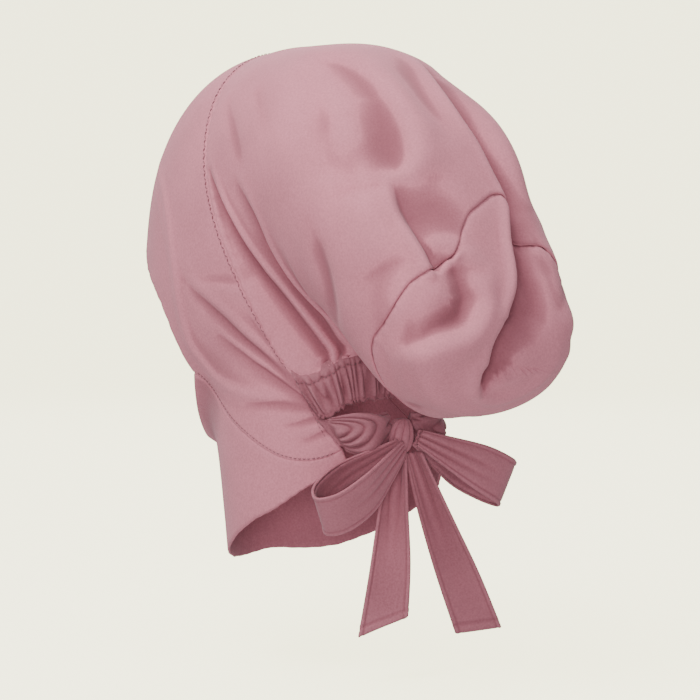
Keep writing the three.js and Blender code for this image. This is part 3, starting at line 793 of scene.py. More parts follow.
# Folds of the bag, at shares of the way round from the top over the left side, and of the way
# along from the seam to the pole. A row is a path, the widths on its right and left, the depths
# along it, its power and its lip, as fold_depths takes them.
BAG_FOLDS = [
    # the valley that parts the two lobes, its hook, and the soft forms on both sides of it
    (
        [(0.955, 0.28), (0.964, 0.34), (0.972, 0.4), (0.974, 0.45), (0.971, 0.5), (0.961, 0.545),
         (0.952, 0.59), (0.944, 0.63), (0.945, 0.68), (0.953, 0.72), (0.961, 0.77), (0.965, 0.82),
         (0.967, 0.855), (0.972, 0.888), (0.983, 0.915), (1.0, 0.94), (1.05, 0.96), (1.17, 0.975),
         (1.316, 0.975), (1.41, 0.958), (1.45, 0.938), (1.475, 0.922)],
        3.6, 17,
        (0, 4, 6.4, 8, 9, 9.8, 10.6, 10.8, 11.6, 12.4, 13, 13.4, 13.8, 14, 14, 14, 14, 14, 13.4,
         12, 7, 0),
        1.7, 0.16,
    ),
    ([(1.25, 0.96), (1.32, 0.952), (1.38, 0.944), (1.44, 0.934), (1.485, 0.922), (1.51, 0.918),
      (1.55, 0.922), (1.62, 0.928), (1.7, 0.935)],
     2.4, 7, (0, 1.4, 2.4, 3, 2.8, 2.2, 1.8, 1, 0), 2, 0.3),
    ([(0.985, 0.24), (0.995, 0.32), (1.006, 0.4), (1.01, 0.47), (1.005, 0.56)],
     12, 9, (0, 1.6, 2.6, 2.2, 0), 2, 0),
    ([(0.952, 0.34), (0.951, 0.42), (0.949, 0.48), (0.944, 0.53), (0.938, 0.57), (0.932, 0.62),
      (0.929, 0.68)], 9, 8, (0, 3, 5, 5.4, 5, 3.4, 0), 2, 0),
    ([(0.92, 0.3), (0.915, 0.4), (0.912, 0.48), (0.907, 0.56), (0.903, 0.64)],
     14, 15, (0, -3, -4, -3, 0), 2, 0),
    ([(0.925, 0.28), (0.93, 0.4), (0.932, 0.5), (0.926, 0.58), (0.925, 0.66)],
     13, 12, (0, 2.4, 4.2, 4.4, 0), 2, 0),
    # the long valley over the top, its pool, and the crease from it to the base seam
    ([(0.078, 0.22), (0.07, 0.26), (0.063, 0.3), (0.06, 0.34), (0.061, 0.38), (0.067, 0.43),
      (0.075, 0.48), (0.085, 0.52), (0.097, 0.55), (0.108, 0.585), (0.12, 0.62)],
     19, 8, (0, 1.8, 3, 3.8, 4.4, 5.2, 6, 6.2, 5.4, 3.4, 1.4, 0), 2, 0.1),
    ([(0.062, 0.4), (0.076, 0.47), (0.088, 0.52), (0.095, 0.57)], 20, 13, (0, 2, 2.8, 0), 2, 0),
    ([(0.11, 0.555), (0.116, 0.59), (0.121, 0.617), (0.12, 0.65), (0.116, 0.69), (0.111, 0.735),
      (0.112, 0.765), (0.106, 0.79)], 2.6, 12, (0, 2.6, 4.2, 5, 5.4, 5.4, 4.6, 0), 1.6, 0.3),
    ([(0.1, 0.57), (0.085, 0.63), (0.077, 0.68), (0.085, 0.73)], 17, 15, (0, 3.4, 3.8, 0), 2, 0),
    ([(0.04, 0.3), (0.035, 0.4), (0.043, 0.5), (0.06, 0.56), (0.066, 0.6)],
     8, 13, (0, -1.4, -2.4, -2.2, 0), 2, 0),
    ([(0.15, 0.52), (0.165, 0.55), (0.187, 0.59), (0.2, 0.64)], 13, 13, (0, -2.4, -2.4, 0), 2, 0),
    ([(0.12, 0.43), (0.15, 0.455), (0.178, 0.5)], 10, 8, (0, 1, 0), 2, 0),
    # the creases that run down behind the seam, and into the casing
    ([(0.19, 0.006), (0.217, 0.026), (0.24, 0.042), (0.26, 0.054), (0.292, 0.066), (0.331, 0.076),
      (0.37, 0.073), (0.397, 0.054), (0.41, 0.02)],
     6, 1.8, (0, 2.2, 4.4, 5, 5, 5, 5, 4.4, 3), 1.25, 0.35),
    ([(0.215, 0.125), (0.24, 0.144), (0.265, 0.15), (0.293, 0.138), (0.329, 0.12), (0.357, 0.114),
      (0.376, 0.107), (0.395, 0.09), (0.414, 0.065), (0.425, 0.02)],
     7.5, 2, (0, 1.2, 2.4, 3.8, 4.8, 5, 5, 4.8, 4.4, 3), 1.4, 0.4),
    ([(0.27, 0.2), (0.298, 0.213), (0.324, 0.193), (0.345, 0.17), (0.365, 0.15)],
     3, 8, (0, -0.8, -1, -0.8, 0), 1.7, 0),
    ([(0.225, 0.35), (0.245, 0.38), (0.262, 0.395), (0.285, 0.4), (0.31, 0.38), (0.335, 0.335),
      (0.36, 0.26)], 10, 7, (0, 1.2, 2.6, 3.2, 3, 1.6, 0), 1.9, 0.1),
    ([(0.38, 0.2), (0.395, 0.15), (0.41, 0.11), (0.425, 0.06), (0.435, 0.015)],
     5, 3, (0, 1, 2, 2.8, 2), 1.6, 0.3),
    ([(0.4, 0.36), (0.425, 0.24), (0.445, 0.1), (0.452, 0.02)], 6, 6, (0, 1, 2.4, 2), 1.7, 0.2),
    ([(0.45, 0.36), (0.465, 0.24), (0.47, 0.1), (0.475, 0.02)], 7, 4, (0, 1, 2.6, 2), 1.7, 0.2),
    # the soft valleys that fan out over the top
    ([(0.1, 0.23), (0.114, 0.31), (0.128, 0.35), (0.144, 0.378), (0.162, 0.41), (0.18, 0.43)],
     14, 9, (0, 1.2, 1.9, 1.9, 1.2, 0), 2, 0),
    ([(0.125, 0.06), (0.138, 0.086), (0.163, 0.126), (0.19, 0.15), (0.215, 0.16)],
     7, 5, (0, 0.7, 1, 0.8, 0), 2, 0),
    ([(0.12, 0.16), (0.13, 0.18), (0.161, 0.217), (0.185, 0.24)], 6, 6, (0, 0.6, 0.6, 0), 2, 0),
    ([(0.02, 0.12), (0.02, 0.2), (0.03, 0.28)], 12, 12, (0, 0.7, 0), 2, 0),
    # the right side
    ([(0.81, 0.006), (0.785, 0.028), (0.757, 0.046), (0.72, 0.062), (0.675, 0.072), (0.63, 0.068),
      (0.602, 0.045), (0.592, 0.015)], 1.7, 5, (0, 1, 2.2, 3, 3.4, 3.6, 3.2, 2.4), 1.35, 0.35),
    ([(0.79, 0.12), (0.75, 0.145), (0.71, 0.14), (0.665, 0.125), (0.63, 0.11), (0.6, 0.08),
      (0.585, 0.02)], 2.4, 6, (0, 1.2, 2.2, 3.2, 3.6, 3.4, 2.4), 1.5, 0.35),
    ([(0.76, 0.3), (0.72, 0.34), (0.68, 0.31), (0.63, 0.2), (0.595, 0.1), (0.575, 0.02)],
     6, 8, (0, 1, 1.9, 2.2, 2.6, 2), 1.8, 0.15),
    ([(0.63, 0.4), (0.6, 0.28), (0.565, 0.12), (0.555, 0.02)], 7, 6, (0, 1, 2.4, 2), 1.7, 0.2),
    ([(0.57, 0.37), (0.55, 0.25), (0.535, 0.1), (0.528, 0.02)], 5, 7, (0, 1, 2.6, 2), 1.7, 0.2),
    ([(0.87, 0.08), (0.85, 0.18), (0.81, 0.3), (0.79, 0.38)], 9, 11, (0, 1.2, 1.8, 0), 2, 0),
    ([(0.91, 0.14), (0.9, 0.28), (0.865, 0.42), (0.85, 0.52), (0.85, 0.6)],
     9, 12, (0, 1.4, 2.6, 2.8, 0), 2, 0.1),
    ([(0.8, 0.42), (0.785, 0.52), (0.79, 0.6), (0.81, 0.68)], 5, 10, (0, 2.6, 3, 1), 1.7, 0.25),
    ([(0.72, 0.4), (0.7, 0.48), (0.69, 0.56)], 8, 8, (0, 1.6, 0), 2, 0),
    # the base: the pleat under the seam, the crescent, and the soft folds round the pole
    ([(0.07, 0.785), (0.062, 0.8), (0.042, 0.824), (0.018, 0.833)], 6, 5, (0, 1.5, 1.5, 0), 2, 0),
    ([(0.09, 0.772), (0.084, 0.795), (0.078, 0.82), (0.077, 0.845), (0.085, 0.872), (0.118, 0.888),
      (0.152, 0.88), (0.186, 0.857), (0.23, 0.812), (0.274, 0.735), (0.309, 0.66)],
     13, 6, (1, 4, 5.4, 6.4, 6.8, 6.4, 5.6, 4.4, 2.4, 0), 1.8, 0.25),
    ([(0.02, 0.88), (0.068, 0.913), (0.181, 0.923), (0.247, 0.878), (0.28, 0.78), (0.3, 0.64)],
     8, 8, (0, -2, -2.4, -2, -1.4, 0), 2, 0),
    ([(0.23, 0.955), (0.32, 0.945), (0.42, 0.928), (0.5, 0.908), (0.56, 0.918), (0.64, 0.915),
      (0.73, 0.91), (0.8, 0.905)], 4, 6, (0, -1, -1.6, -2.2, -2.4, -2, -1.2, 0), 1.8, 0),
    ([(0.948, 0.75), (0.938, 0.808), (0.93, 0.84), (0.919, 0.88), (0.91, 0.915)],
     5, 7, (0, 1.8, 2.6, 2, 0), 1.8, 0.2),
    ([(0.9, 0.735), (0.89, 0.78), (0.875, 0.84), (0.84, 0.88)], 6, 8, (0.5, 1.4, 1.4, 0), 2, 0),
    ([(0.42, 0.53), (0.42, 0.66), (0.4, 0.78)], 6, 7, (1, 1.6, 0), 1.8, 0),
    ([(0.5, 0.52), (0.5, 0.66), (0.49, 0.8)], 7, 6, (1, 1.8, 0), 1.8, 0.1),
    ([(0.58, 0.53), (0.585, 0.66), (0.6, 0.78)], 6, 7, (1, 1.8, 0), 1.8, 0.1),
    ([(0.67, 0.6), (0.66, 0.7), (0.68, 0.8), (0.72, 0.88)], 5, 8, (1, 2, 2.2, 0), 1.7, 0.15),
    ([(0.75, 0.68), (0.745, 0.76), (0.76, 0.84), (0.78, 0.9)], 5, 8, (1, 2, 1.6, 0), 1.7, 0.2),
    ([(0.83, 0.73), (0.835, 0.79), (0.85, 0.85), (0.86, 0.9)], 6, 9, (1, 1.6, 1, 0), 1.8, 0.2),
]
# The seam between the bag's crown and its base, as places of the same kind
BASE_SEAM = [
    (0.006, 0.686), (0.021, 0.7), (0.034, 0.72), (0.054, 0.752), (0.07, 0.769), (0.092, 0.769),
    (0.112, 0.766), (0.13, 0.759), (0.151, 0.747), (0.175, 0.73), (0.205, 0.711), (0.24, 0.681),
    (0.277, 0.635), (0.305, 0.588), (0.34, 0.545), (0.4, 0.505), (0.5, 0.485), (0.6, 0.51),
    (0.66, 0.56), (0.72, 0.63), (0.78, 0.69), (0.84, 0.712), (0.885, 0.716), (0.908, 0.728),
    (0.931, 0.738), (0.944, 0.725), (0.953, 0.672), (0.966, 0.657), (0.98, 0.658), (0.993, 0.669),
]


def base_seam(around):
    seam = np.array(BASE_SEAM)
    seam = spline(np.concatenate([seam, seam[:1] + (1, 0)]), np.linspace(0, 1, 600))
    return np.interp(around, seam[:, 0], seam[:, 1], period=1)


def seam_dip(distance, depth, reach):
    """How far cloth dips beside a seam, at a distance from it in millimetres."""
    return depth * np.exp(-np.abs(distance) / reach)


def crown_panel(head, bag):
    columns = sizes().columns
    rows = 120
    steps = np.linspace(0, 1, rows + 1)
    steps = mix(steps * steps, steps, 0.6)  # closer rows by the seam, where the creases are
    around, share = np.meshgrid(np.arange(columns) / columns, steps)
    along = base_seam(around) * share
    grid, depth = bag.face(around, along)
    from_seam = along * bag.along
    from_base = (base_seam(around) - along) * bag.along
    lift = -seam_dip(from_seam, depth=0.6, reach=1.5) + seam_dip(from_base, depth=0.25, reach=3)
    arc = around * bag.round
    lift += ripple(arc, from_seam, pitch=5.5, height=0.2, reach=4, seed=3)
    lift += ripple(arc, from_base, pitch=11, height=0.1, reach=6, seed=4)
    grid = raised(grid, lift, bag.middle, ring=True)
    turns = np.meshgrid(np.arange(columns + 1) / columns, share[:, 0])
    places = base_seam(turns[0]) * turns[1]
    uvs = metric(turns[0], places, bag.round, bag.along)
    return cloth_piece(
        "jersey_crown_panel", grid, uvs, head.wall, bag.middle,
        ["crown_panel"], ring=True, depth=depth,
    )


BASE_TUCK = 3  # how far the base runs on under the crown's edge
SEAM_STEP = 0.004  # of the way round, between the places whose seam the base starts under


def bag_base(head, bag):
    columns = sizes().columns
    rows = 56
    around, share = np.meshgrid(np.arange(columns) / columns, np.linspace(0, 1, rows + 1))
    seam = base_seam(around)
    start = np.minimum.reduce([base_seam(around + k * SEAM_STEP) for k in range(-3, 4)])
    start = start - BASE_TUCK / bag.along
    along = mix(start, 1.0, share)
    grid, depth = bag.face(around, along)
    from_seam = np.maximum(along - seam, 0) * bag.along
    lift = -seam_dip(from_seam, depth=head.wall + 0.2, reach=2)
    lift += ripple(around * bag.round, from_seam, pitch=9, height=0.2, reach=6, seed=5)
    lift *= 1 - ramp(share, 0.9, 1)
    grid = raised(grid, lift, bag.middle, ring=True)
    grid[-1] = grid[-2].mean(0)
    depth[-1] = depth[-2].mean()
    turns = np.meshgrid(np.arange(columns + 1) / columns, share[:, 0])
    places = mix(base_seam(turns[0]), 1.0, turns[1])
    uvs = metric(turns[0], places, bag.round, bag.along)
    return cloth_piece(
        "jersey_bag_base", grid, uvs, head.wall, bag.middle,
        ["bag_base"], ring=True, tip=True, depth=depth,
    )


# The band round the face and the panel under the chin. Their folds lie at shares out from the
# middle and across from the face edge to the seam.
BAND_FOLDS = [
    # the long light ridge that follows the face and sweeps back to the nape
    ([(0.2, 0.38), (0.26, 0.41), (0.342, 0.45), (0.407, 0.42), (0.455, 0.35), (0.482, 0.25),
      (0.52, 0.165), (0.594, 0.135), (0.7, 0.2), (0.8, 0.29), (0.9, 0.41)],
     5.5, 3, (0, -0.7, -1.1, -1.3, -1.4, -1.6, -1.8, -1.8, -1.5, -1, 0), 1.7, 0),
    ([(0.24, 0.34), (0.3, 0.36), (0.36, 0.37), (0.42, 0.33)], 2.5, 2.5, (0, -0.5, -0.4, 0), 1.8, 0),
    # the creases that fan out of the gathers
    ([(0.47, 0.44), (0.53, 0.462), (0.6, 0.5), (0.68, 0.54), (0.76, 0.575), (0.84, 0.635),
      (0.92, 0.7), (1, 0.75)], 6.5, 2.4, (0, 0.8, 1.4, 1.9, 2.4, 2.6, 2.6, 2.2), 1.5, 0.3),
    ([(0.61, 0.395), (0.656, 0.411), (0.718, 0.433), (0.8, 0.482), (0.87, 0.54), (0.93, 0.595),
      (1, 0.64)], 5, 1.6, (0, 0.5, 1, 1.6, 2.1, 2.3, 2), 1.35, 0.35),
    ([(0.73, 0.17), (0.8, 0.25), (0.87, 0.35), (0.94, 0.45), (1, 0.52)],
     4, 3, (0, 0.9, 1.4, 1.7, 1.6), 1.6, 0.2),
    ([(0.86, 0.2), (0.92, 0.29), (0.97, 0.38), (1, 0.43)], 3, 2.4, (0, 0.8, 1.5, 1.5), 1.6, 0.2),
    ([(0.9, 0.13), (0.95, 0.2), (1, 0.28)], 3, 2.4, (0, 0.9, 1.4), 1.6, 0.2),
    ([(0.78, 0.83), (0.86, 0.86), (0.93, 0.88), (1, 0.88)], 4, 2.4, (0, 0.8, 1.5, 1.6), 1.6, 0.2),
]
BAND_TUCK = 0.03  # how far the band runs on under the bag's edge, as a share of its breadth
BAND_DROP = 1.8  # how deep its edge dips there, in millimetres
BAND_FADE = 0.035  # where its folds fade out before the seam, as a share of its breadth
BAND_LENGTH = 1.72  # half its length, and its breadth, in depths of the head
BAND_BREADTH = 0.5
CHIN_BREADTH = 0.27  # of the chin panel, in heights of the head


def band_line(head, along, across):
    inner = split_edge(head, FOREHEAD_EDGE, along)
    outer = crown_seam(head, (along * CASING_START) % 1)
    return mix(inner, outer, across[..., None])


def band_depth(head, spots):
    """Depth of the band's folds at spots on it: the right half mirrors the left."""

    def place(along, across):
        return head.on(band_line(head, along, across), EASE + head.wall)

    left = spots * np.where(spots[..., :1] < 0, (-1, 1, 1), 1)
    return fold_depths(BAND_FOLDS, left, unit(left - head.middle), place)


def front_band(head):
    length = BAND_LENGTH * head.depth
    breadth = BAND_BREADTH * head.depth
    columns = sizes().columns
    rows = 76
    along, across = np.meshgrid(
        np.linspace(-1, 1, columns + 1), np.linspace(0, 1 + BAND_TUCK, rows + 1)
    )
    spot = band_line(head, along, across)
    from_face = across * breadth
    from_bag = np.abs(1 - across) * breadth
    depth = band_depth(head, head.on(spot, EASE + head.wall))
    depth *= ramp(1 - across, 0, BAND_FADE)
    under = BAND_DROP * ramp(across, 1.001, 1 + BAND_TUCK)
    lift = EASE + head.wall - depth
    lift -= seam_dip(from_bag, depth=0.6, reach=1.5) + under
    lift -= np.where(np.abs(along) < 0.5, 0, seam_dip(from_face, depth=0.6, reach=1.4))
    lift += ripple(along * length, from_bag, pitch=5.5, height=0.15, reach=4, seed=6)
    lift += ripple(along * length, from_face, pitch=8, height=0.12, reach=5, seed=7)
    grid = head.on(spot, lift)
    uvs = metric(along, across, length, breadth)
    # painted shade: the band's colour darkens with twice the depth of its folds
    return cloth_piece(
        "jersey_front_band", grid, uvs, head.wall, head.middle, ["front_band"],
        depth=2 * depth,
    )


HEM_LINE = 9  # from the chin panel's edge to the line of its hem
HEM_GROOVE = 0.25  # depth of that line


def chin_panel(head):
    breadth = CHIN_BREADTH * head.height
    length = BAND_LENGTH * head.depth
    columns = 300
    rows = 44
    along, across = np.meshgrid(np.linspace(-1, 1, columns + 1), np.linspace(0, 1, rows + 1))
    top = split_edge(head, CHIN_EDGE, along)
    hem = spline(head.place(both_halves(HEM_EDGE)), (along + 1) / 2)
    spot = mix(top, hem, across[..., None])
    from_top = across * breadth
    from_hem = (1 - across) * breadth
    free = np.abs(along) < 0.5
    lift = np.full(along.shape, EASE + head.wall)
    lift -= np.where(free, 0, seam_dip(from_top, depth=0.8, reach=1.6))
    lift += ripple(along * length, from_hem, pitch=14, height=0.12, reach=9, seed=8)
    lift -= HEM_GROOVE * np.exp(-(((from_hem - HEM_LINE) / 0.7) ** 2))
    grid = head.on(spot, lift)
    uvs = metric(along, across, length, breadth)
    return cloth_piece(
        "jersey_chin_panel", grid, uvs, head.wall, head.middle, ["chin_panel"]
    )


# The elastic casing at the nape: millimetres, and shares of its length and height
CASING_LENGTH = 120
CASING_CLOTH = 260  # the length that the knit is laid over, so that its rows draw together
CASING_TUCK = 0.09  # how far it runs on under the bag's edge
TUCK_DEPTH = 2.6
PUCKER_PITCH = 5.4
PUCKER_HEIGHT = 4
CASING_PLEATS = (0.12, 0.2, 0.245, 0.31, 0.4, 0.61, 0.72, 0.8, 0.87)
PLEAT_DEPTH = 2.2
PLEAT_WIDTH = 1.5
END_ROLL = 1.3  # height and breadth of the roll at each end
TOP_STITCHES = 0.15
LOW_STITCHES = 0.93


def casing_share(head):
    ends = head.place([BAND_END, CASING_END])
    height = sizes().casing_height / MILLIMETRE
    return height / np.linalg.norm(ends[0] - ends[1])


def nape_casing(head):
    height = sizes().casing_height / MILLIMETRE
    share = casing_share(head)
    ends = head.place([BAND_END, CASING_END])
    slant = (ends[0] - ends[1]) * share
    u, v = np.meshgrid(np.linspace(0, 1, 421), np.linspace(-CASING_TUCK, 1, 33))
    top = crown_seam(head, mix(CASING_START, 1 - CASING_START, u))
    from_middle = 1 - 2 * u
    lean = from_middle**2
    fall = np.stack(
        [np.sign(from_middle) * slant[0] * lean, slant[1] * lean,
         slant[2] * lean - (1 - lean) * height], -1
    )
    arc = u * CASING_LENGTH
    wander = 2.6 * np.sin(arc * 0.21 + 0.8) + 1.5 * np.sin(arc * 0.53 + 2)
    wander += 1.3 * v * np.sin(arc * 0.37 + 1) - 3.4 * v * from_middle
    folds = np.abs(np.sin(math.pi * (arc + wander) / PUCKER_PITCH)) ** 0.75
    slow = 0.66 + 0.34 * np.sin(arc * 0.83 + 1.3 + 1.5 * v)
    spread = mix(0.3, 1, np.sin(math.pi * np.clip(v * 1.05, 0, 1)) ** 0.7)
    gathered = PUCKER_HEIGHT * folds * slow * spread
    rows_of_stitches = np.exp(-(((v - TOP_STITCHES) / 0.04) ** 2))
    rows_of_stitches += np.exp(-(((v - LOW_STITCHES) / 0.03) ** 2))
    gathered *= 1 - 0.5 * np.clip(rows_of_stitches, 0, 1)
    for place in CASING_PLEATS:
        line = place * CASING_LENGTH + 4 * v * (0.5 - place)
        pleat = np.exp(-(np.abs((arc - line) / PLEAT_WIDTH) ** 1.6))
        gathered -= PLEAT_DEPTH * pleat * ramp(1 - v, 0, 0.3)
    from_end = (1 - np.abs(from_middle)) * CASING_LENGTH / 2
    gathered += END_ROLL * np.exp(-(((from_end - 1.6) / END_ROLL) ** 2)) + 0.5
    tucked = TUCK_DEPTH * (1 - ramp(v, -CASING_TUCK, 0.02))
    scallop = 0.035 * (folds - 0.5) * ramp(v, 0.6, 1)
    spot = top + fall * (v + scallop)[..., None]
    grid = head.on(spot, EASE + head.wall + gathered - tucked - 0.4)
    uvs = metric(u, v, CASING_CLOTH, height)
    casing = cloth_piece(
        "jersey_nape_casing", grid, uvs, head.wall, head.middle,
        ["nape_casing"],
    )
    rows = [("top", grid[np.abs(v[:, 0] - TOP_STITCHES).argmin()])]
    rows += [("left_end", grid[3:, 4]), ("right_end", grid[3:, -5])]
    made = [casing]
    for name, line in rows:
        out = unit(line - head.middle)
        made.append(stitches(f"stitches_casing_{name}", line, out, "gathered_jersey"))
    return made


# The knot, and the bunched ends of the band that run into it. Millimetres.
KNOT = (15, 13, 18)  # width, depth and height
KNOT_GAP = 0.5
KNOT_FULLNESS = 1.12  # how far the cloth stands out from the plain knot
KNOT_CLOTH = (44, 24)  # round it and over it
NAPE_SPOT = (0.03, 0.95, 0.925)  # the knot's place, as side, back and down
GATHER_HEIGHT = 25
GATHER_THICKNESS = 11
GATHER_CLOTH = (70, 40)  # round it and along it
GATHER_RELIEF = 2.4
GATHER_START = 0.39  # how far up the band's end it starts
GATHER_TUCK = 0.09  # how far it runs on under the band's end, as a share of its length
# Height and thickness along the bunch, as shares of its own
GATHER_HIGH = [0.76, 0.9, 0.93, 0.84, 0.56]
GATHER_THICK = [0.3, 0.8, 1.1, 0.95, 0.5]
TIE_THICKNESS = 1.6
LOOP_OPENING = 22
LOOP_CLOTH = 2.3  # length of a loop's cloth, in reaches
TAIL_SLANT = 11
FAR = 1000  # millimetres inward, to a point that a tail turns its back to


def knot_middle(head):
    return head.on(head.place([NAPE_SPOT]), EASE + KNOT[1] / 2)[0]


def bunched_end(head, hand, name, node):
    """The gathered end of the band, on the left for hand 1 and on the right for hand -1."""
    side = np.array([hand, 1, 1])
    ends = head.place([BAND_END, CASING_END]) * side
    start = mix(ends[0], ends[1], GATHER_START * (1 - casing_share(head)))
    end = knot_middle(head) + (hand * (KNOT[0] / 2 + KNOT_GAP), 0, 0)
    skin = head.on(np.array([start, end]))
    rows = 90
    across = 140

    def middle_of(v):
        return head.on(mix(skin[0], skin[1], v[..., None]))

    u, v = np.meshgrid(np.arange(across) / across, np.linspace(-GATHER_TUCK, 1, rows + 1))
    line = v[:, 0]
    middle = middle_of(line)
    ahead = unit(middle_of(np.minimum(line + 0.05, 1)) - middle_of(np.maximum(line - 0.05, 0)))
    out = unit(middle - np.stack([0 * line, 0 * line + head.neck_back, middle[:, 2]], -1))
    up = unit(np.cross(out, ahead))
    up *= np.sign(up[:, 2:])
    slant = unit(ends[1] - ends[0])
    up = mix(up, slant, ((1 - line) ** 2)[:, None])
    up = unit(mix(up, np.array([0, 0, 1]), (line**4)[:, None]))
    high = lookup(GATHER_HIGH, line) * GATHER_HEIGHT / 2
    thick = lookup(GATHER_THICK, line) * GATHER_THICKNESS / 2
    thick *= mix(0.2, 1, ramp(line, -GATHER_TUCK, 0.02))
    angle = TURN * u
    # the folds run round the bunch like the layers of a shell, about the middle of its start
    level = np.cos(angle) + 0.12 * np.sin(3 * angle + hand)
    layer = np.hypot((v + 0.75) / 1.6, 0.9 * level - 0.2)
    layer += 0.04 * np.sin(3 * v + 2 * angle + 2 * hand)
    folds = np.abs(np.sin(math.pi * (5.2 * layer + 0.25 * np.sin(9 * layer)))) ** 0.8
    folds *= 0.72 + 0.28 * np.sin(6 * v + 4 * level + hand)
    lengthwise = np.abs(np.sin(3.5 * angle + 4 * v + hand)) ** 0.6
    folds = mix(folds, lengthwise, ramp(v, 0.8, 1))
    outside = ramp(np.sin(angle), -0.2, 0.25)
    relief = GATHER_RELIEF * folds * outside * ramp(v, 0, 0.1) - GATHER_RELIEF / 2
    grid = (
        middle[:, None]
        + out[:, None] * (EASE + thick[:, None] * (1 + np.sin(angle)))[..., None]
        + up[:, None] * (high[:, None] * np.cos(angle))[..., None]
    )
    grid = raised(grid, relief, middle[:, None], ring=True)
    turns = np.meshgrid(np.arange(across + 1) / across, line)
    uvs = metric(*turns, *GATHER_CLOTH)
    return solid_piece(name, grid, uvs, [node])


def bow_knot(head):
    middle = knot_middle(head)
    across = 120
    rows = 70
    u, v = np.meshgrid(np.arange(across) / across, np.linspace(0, 1, rows + 1))
    angle = TURN * u
    height = math.pi * mix(0.05, 0.95, v)
    wrap = 0.96 + 0.04 * np.cos(3 * height + angle)
    pleats = np.abs(np.sin(4.5 * angle + 1.1 * np.sin(1.4 * height) + 0.6)) ** 0.6
    fold = 0.84 + 0.16 * pleats * np.sin(height) ** 0.5
    dent = 1 - 0.1 * np.exp(-(((angle - 1.9) / 0.16) ** 2)) * np.sin(height)
    round_ = np.sin(height) ** 0.62 * wrap * fold * dent
    lean = 0.9 * np.cos(height)
    grid = np.stack(
        [
            KNOT[0] / 2 * round_ * np.cos(angle) + lean,
            KNOT[1] / 2 * round_ * np.sin(angle),
            -KNOT[2] / 2 * np.cos(height),
        ],
        -1,
    )
    turns = np.meshgrid(np.arange(across + 1) / across, v[:, 0])
    uvs = metric(*turns, *KNOT_CLOTH)
    grid = middle + KNOT_FULLNESS * grid
    return solid_piece("jersey_bow_knot", grid, uvs, ["bow_knot"])


# A loop's row is out, apart and wide, as shares of its reach, half opening and the tie's width
LOOP_ROWS = [
    (0, -0.2, 0.36),
    (0.22, -0.55, 0.6),
    (0.58, -1, 0.94),
    (0.87, -0.8, 1),
    (1, 0, 1),
    (0.88, 0.8, 1),
    (0.58, 0.95, 0.92),
    (0.22, 0.5, 0.58),
    (0, 0.2, 0.36),
]


def from_knot(head, side, back, up):
    return knot_middle(head) + np.array([side, back, up]) * KNOT


def ribbon_relief(u, near, pleats, seed):
    """Height of a tie's folds across its width: a hem at each edge, pleats near the knot."""
    edge = np.minimum(u, 1 - u)
    hem = 0.35 * (1 - ramp(edge, 0.05, 0.075)) - 0.35 * np.exp(-(((edge - 0.085) / 0.018) ** 2))
    fan = np.zeros(np.shape(u))
    for place, drift, depth in pleats:
        line = place + drift * (1 - near)
        fan -= depth * np.exp(-(((u - line) / 0.07) ** 2)) * near
    wave = 0.4 * np.sin(TURN * (1.3 * u + 0.2 * seed)) * near
    return hem + fan + wave


def bow_loop(head, name, node, run, breadth, away, pleats, reach_share, cup):
    """A loop: the tie runs out from the knot and back again."""
    reach = sizes().loop_reach / MILLIMETRE * reach_share
    width = sizes().tie_width / MILLIMETRE
    run = unit(np.array(run))
    across = unit(np.array(breadth) - run * np.dot(breadth, run))
    apart = np.cross(run, across)
    root = from_knot(head, *away)
    rows = np.array(LOOP_ROWS)
    path = root + run * rows[:, :1] * reach + apart * rows[:, 1:2] * LOOP_OPENING / 2
    u, v = np.meshgrid(np.linspace(0, 1, 41), np.linspace(0, 1, 221))
    line = spline(path, v)
    wide = lookup(rows[:, 2], v) * width
    grid = line + across * ((u - 0.5) * wide)[..., None]
    out = np.abs(2 * v - 1)
    near = ramp(out, 0.15, 1)
    relief = ribbon_relief(u, near, pleats, 1)
    bowed = cup * np.sin(math.pi * u) * near
    centre = root + run * reach / 2
    grid = raised(grid, relief + bowed, centre, ring=False)
    uvs = metric(u, v, width, LOOP_CLOTH * reach)
    return cloth_piece(name, grid, uvs, TIE_THICKNESS, centre, [node])


# A tail's row is down as a share of its drop, side, back, wide and deep as shares of its width
LEFT_TAIL = [
    (0, 0, 0, 0.32, 0.12),
    (0.3, 0.2, 0.12, 0.55, 0.2),
    (0.65, 0.42, 0.24, 0.8, 0.1),
    (1, 0.66, 0.3, 1, 0.03),
]
RIGHT_TAIL = [
    (0, 0, 0, 0.32, 0.12),
    (0.3, -0.46, 0.1, 0.6, 0.18),
    (0.65, -1.03, 0.2, 0.85, 0.08),
    (1, -1.6, 0.3, 0.95, 0.03),
]
TAIL_FACING = math.radians(-40)
UNDER_KNOT = -0.5 - KNOT_GAP / KNOT[2]


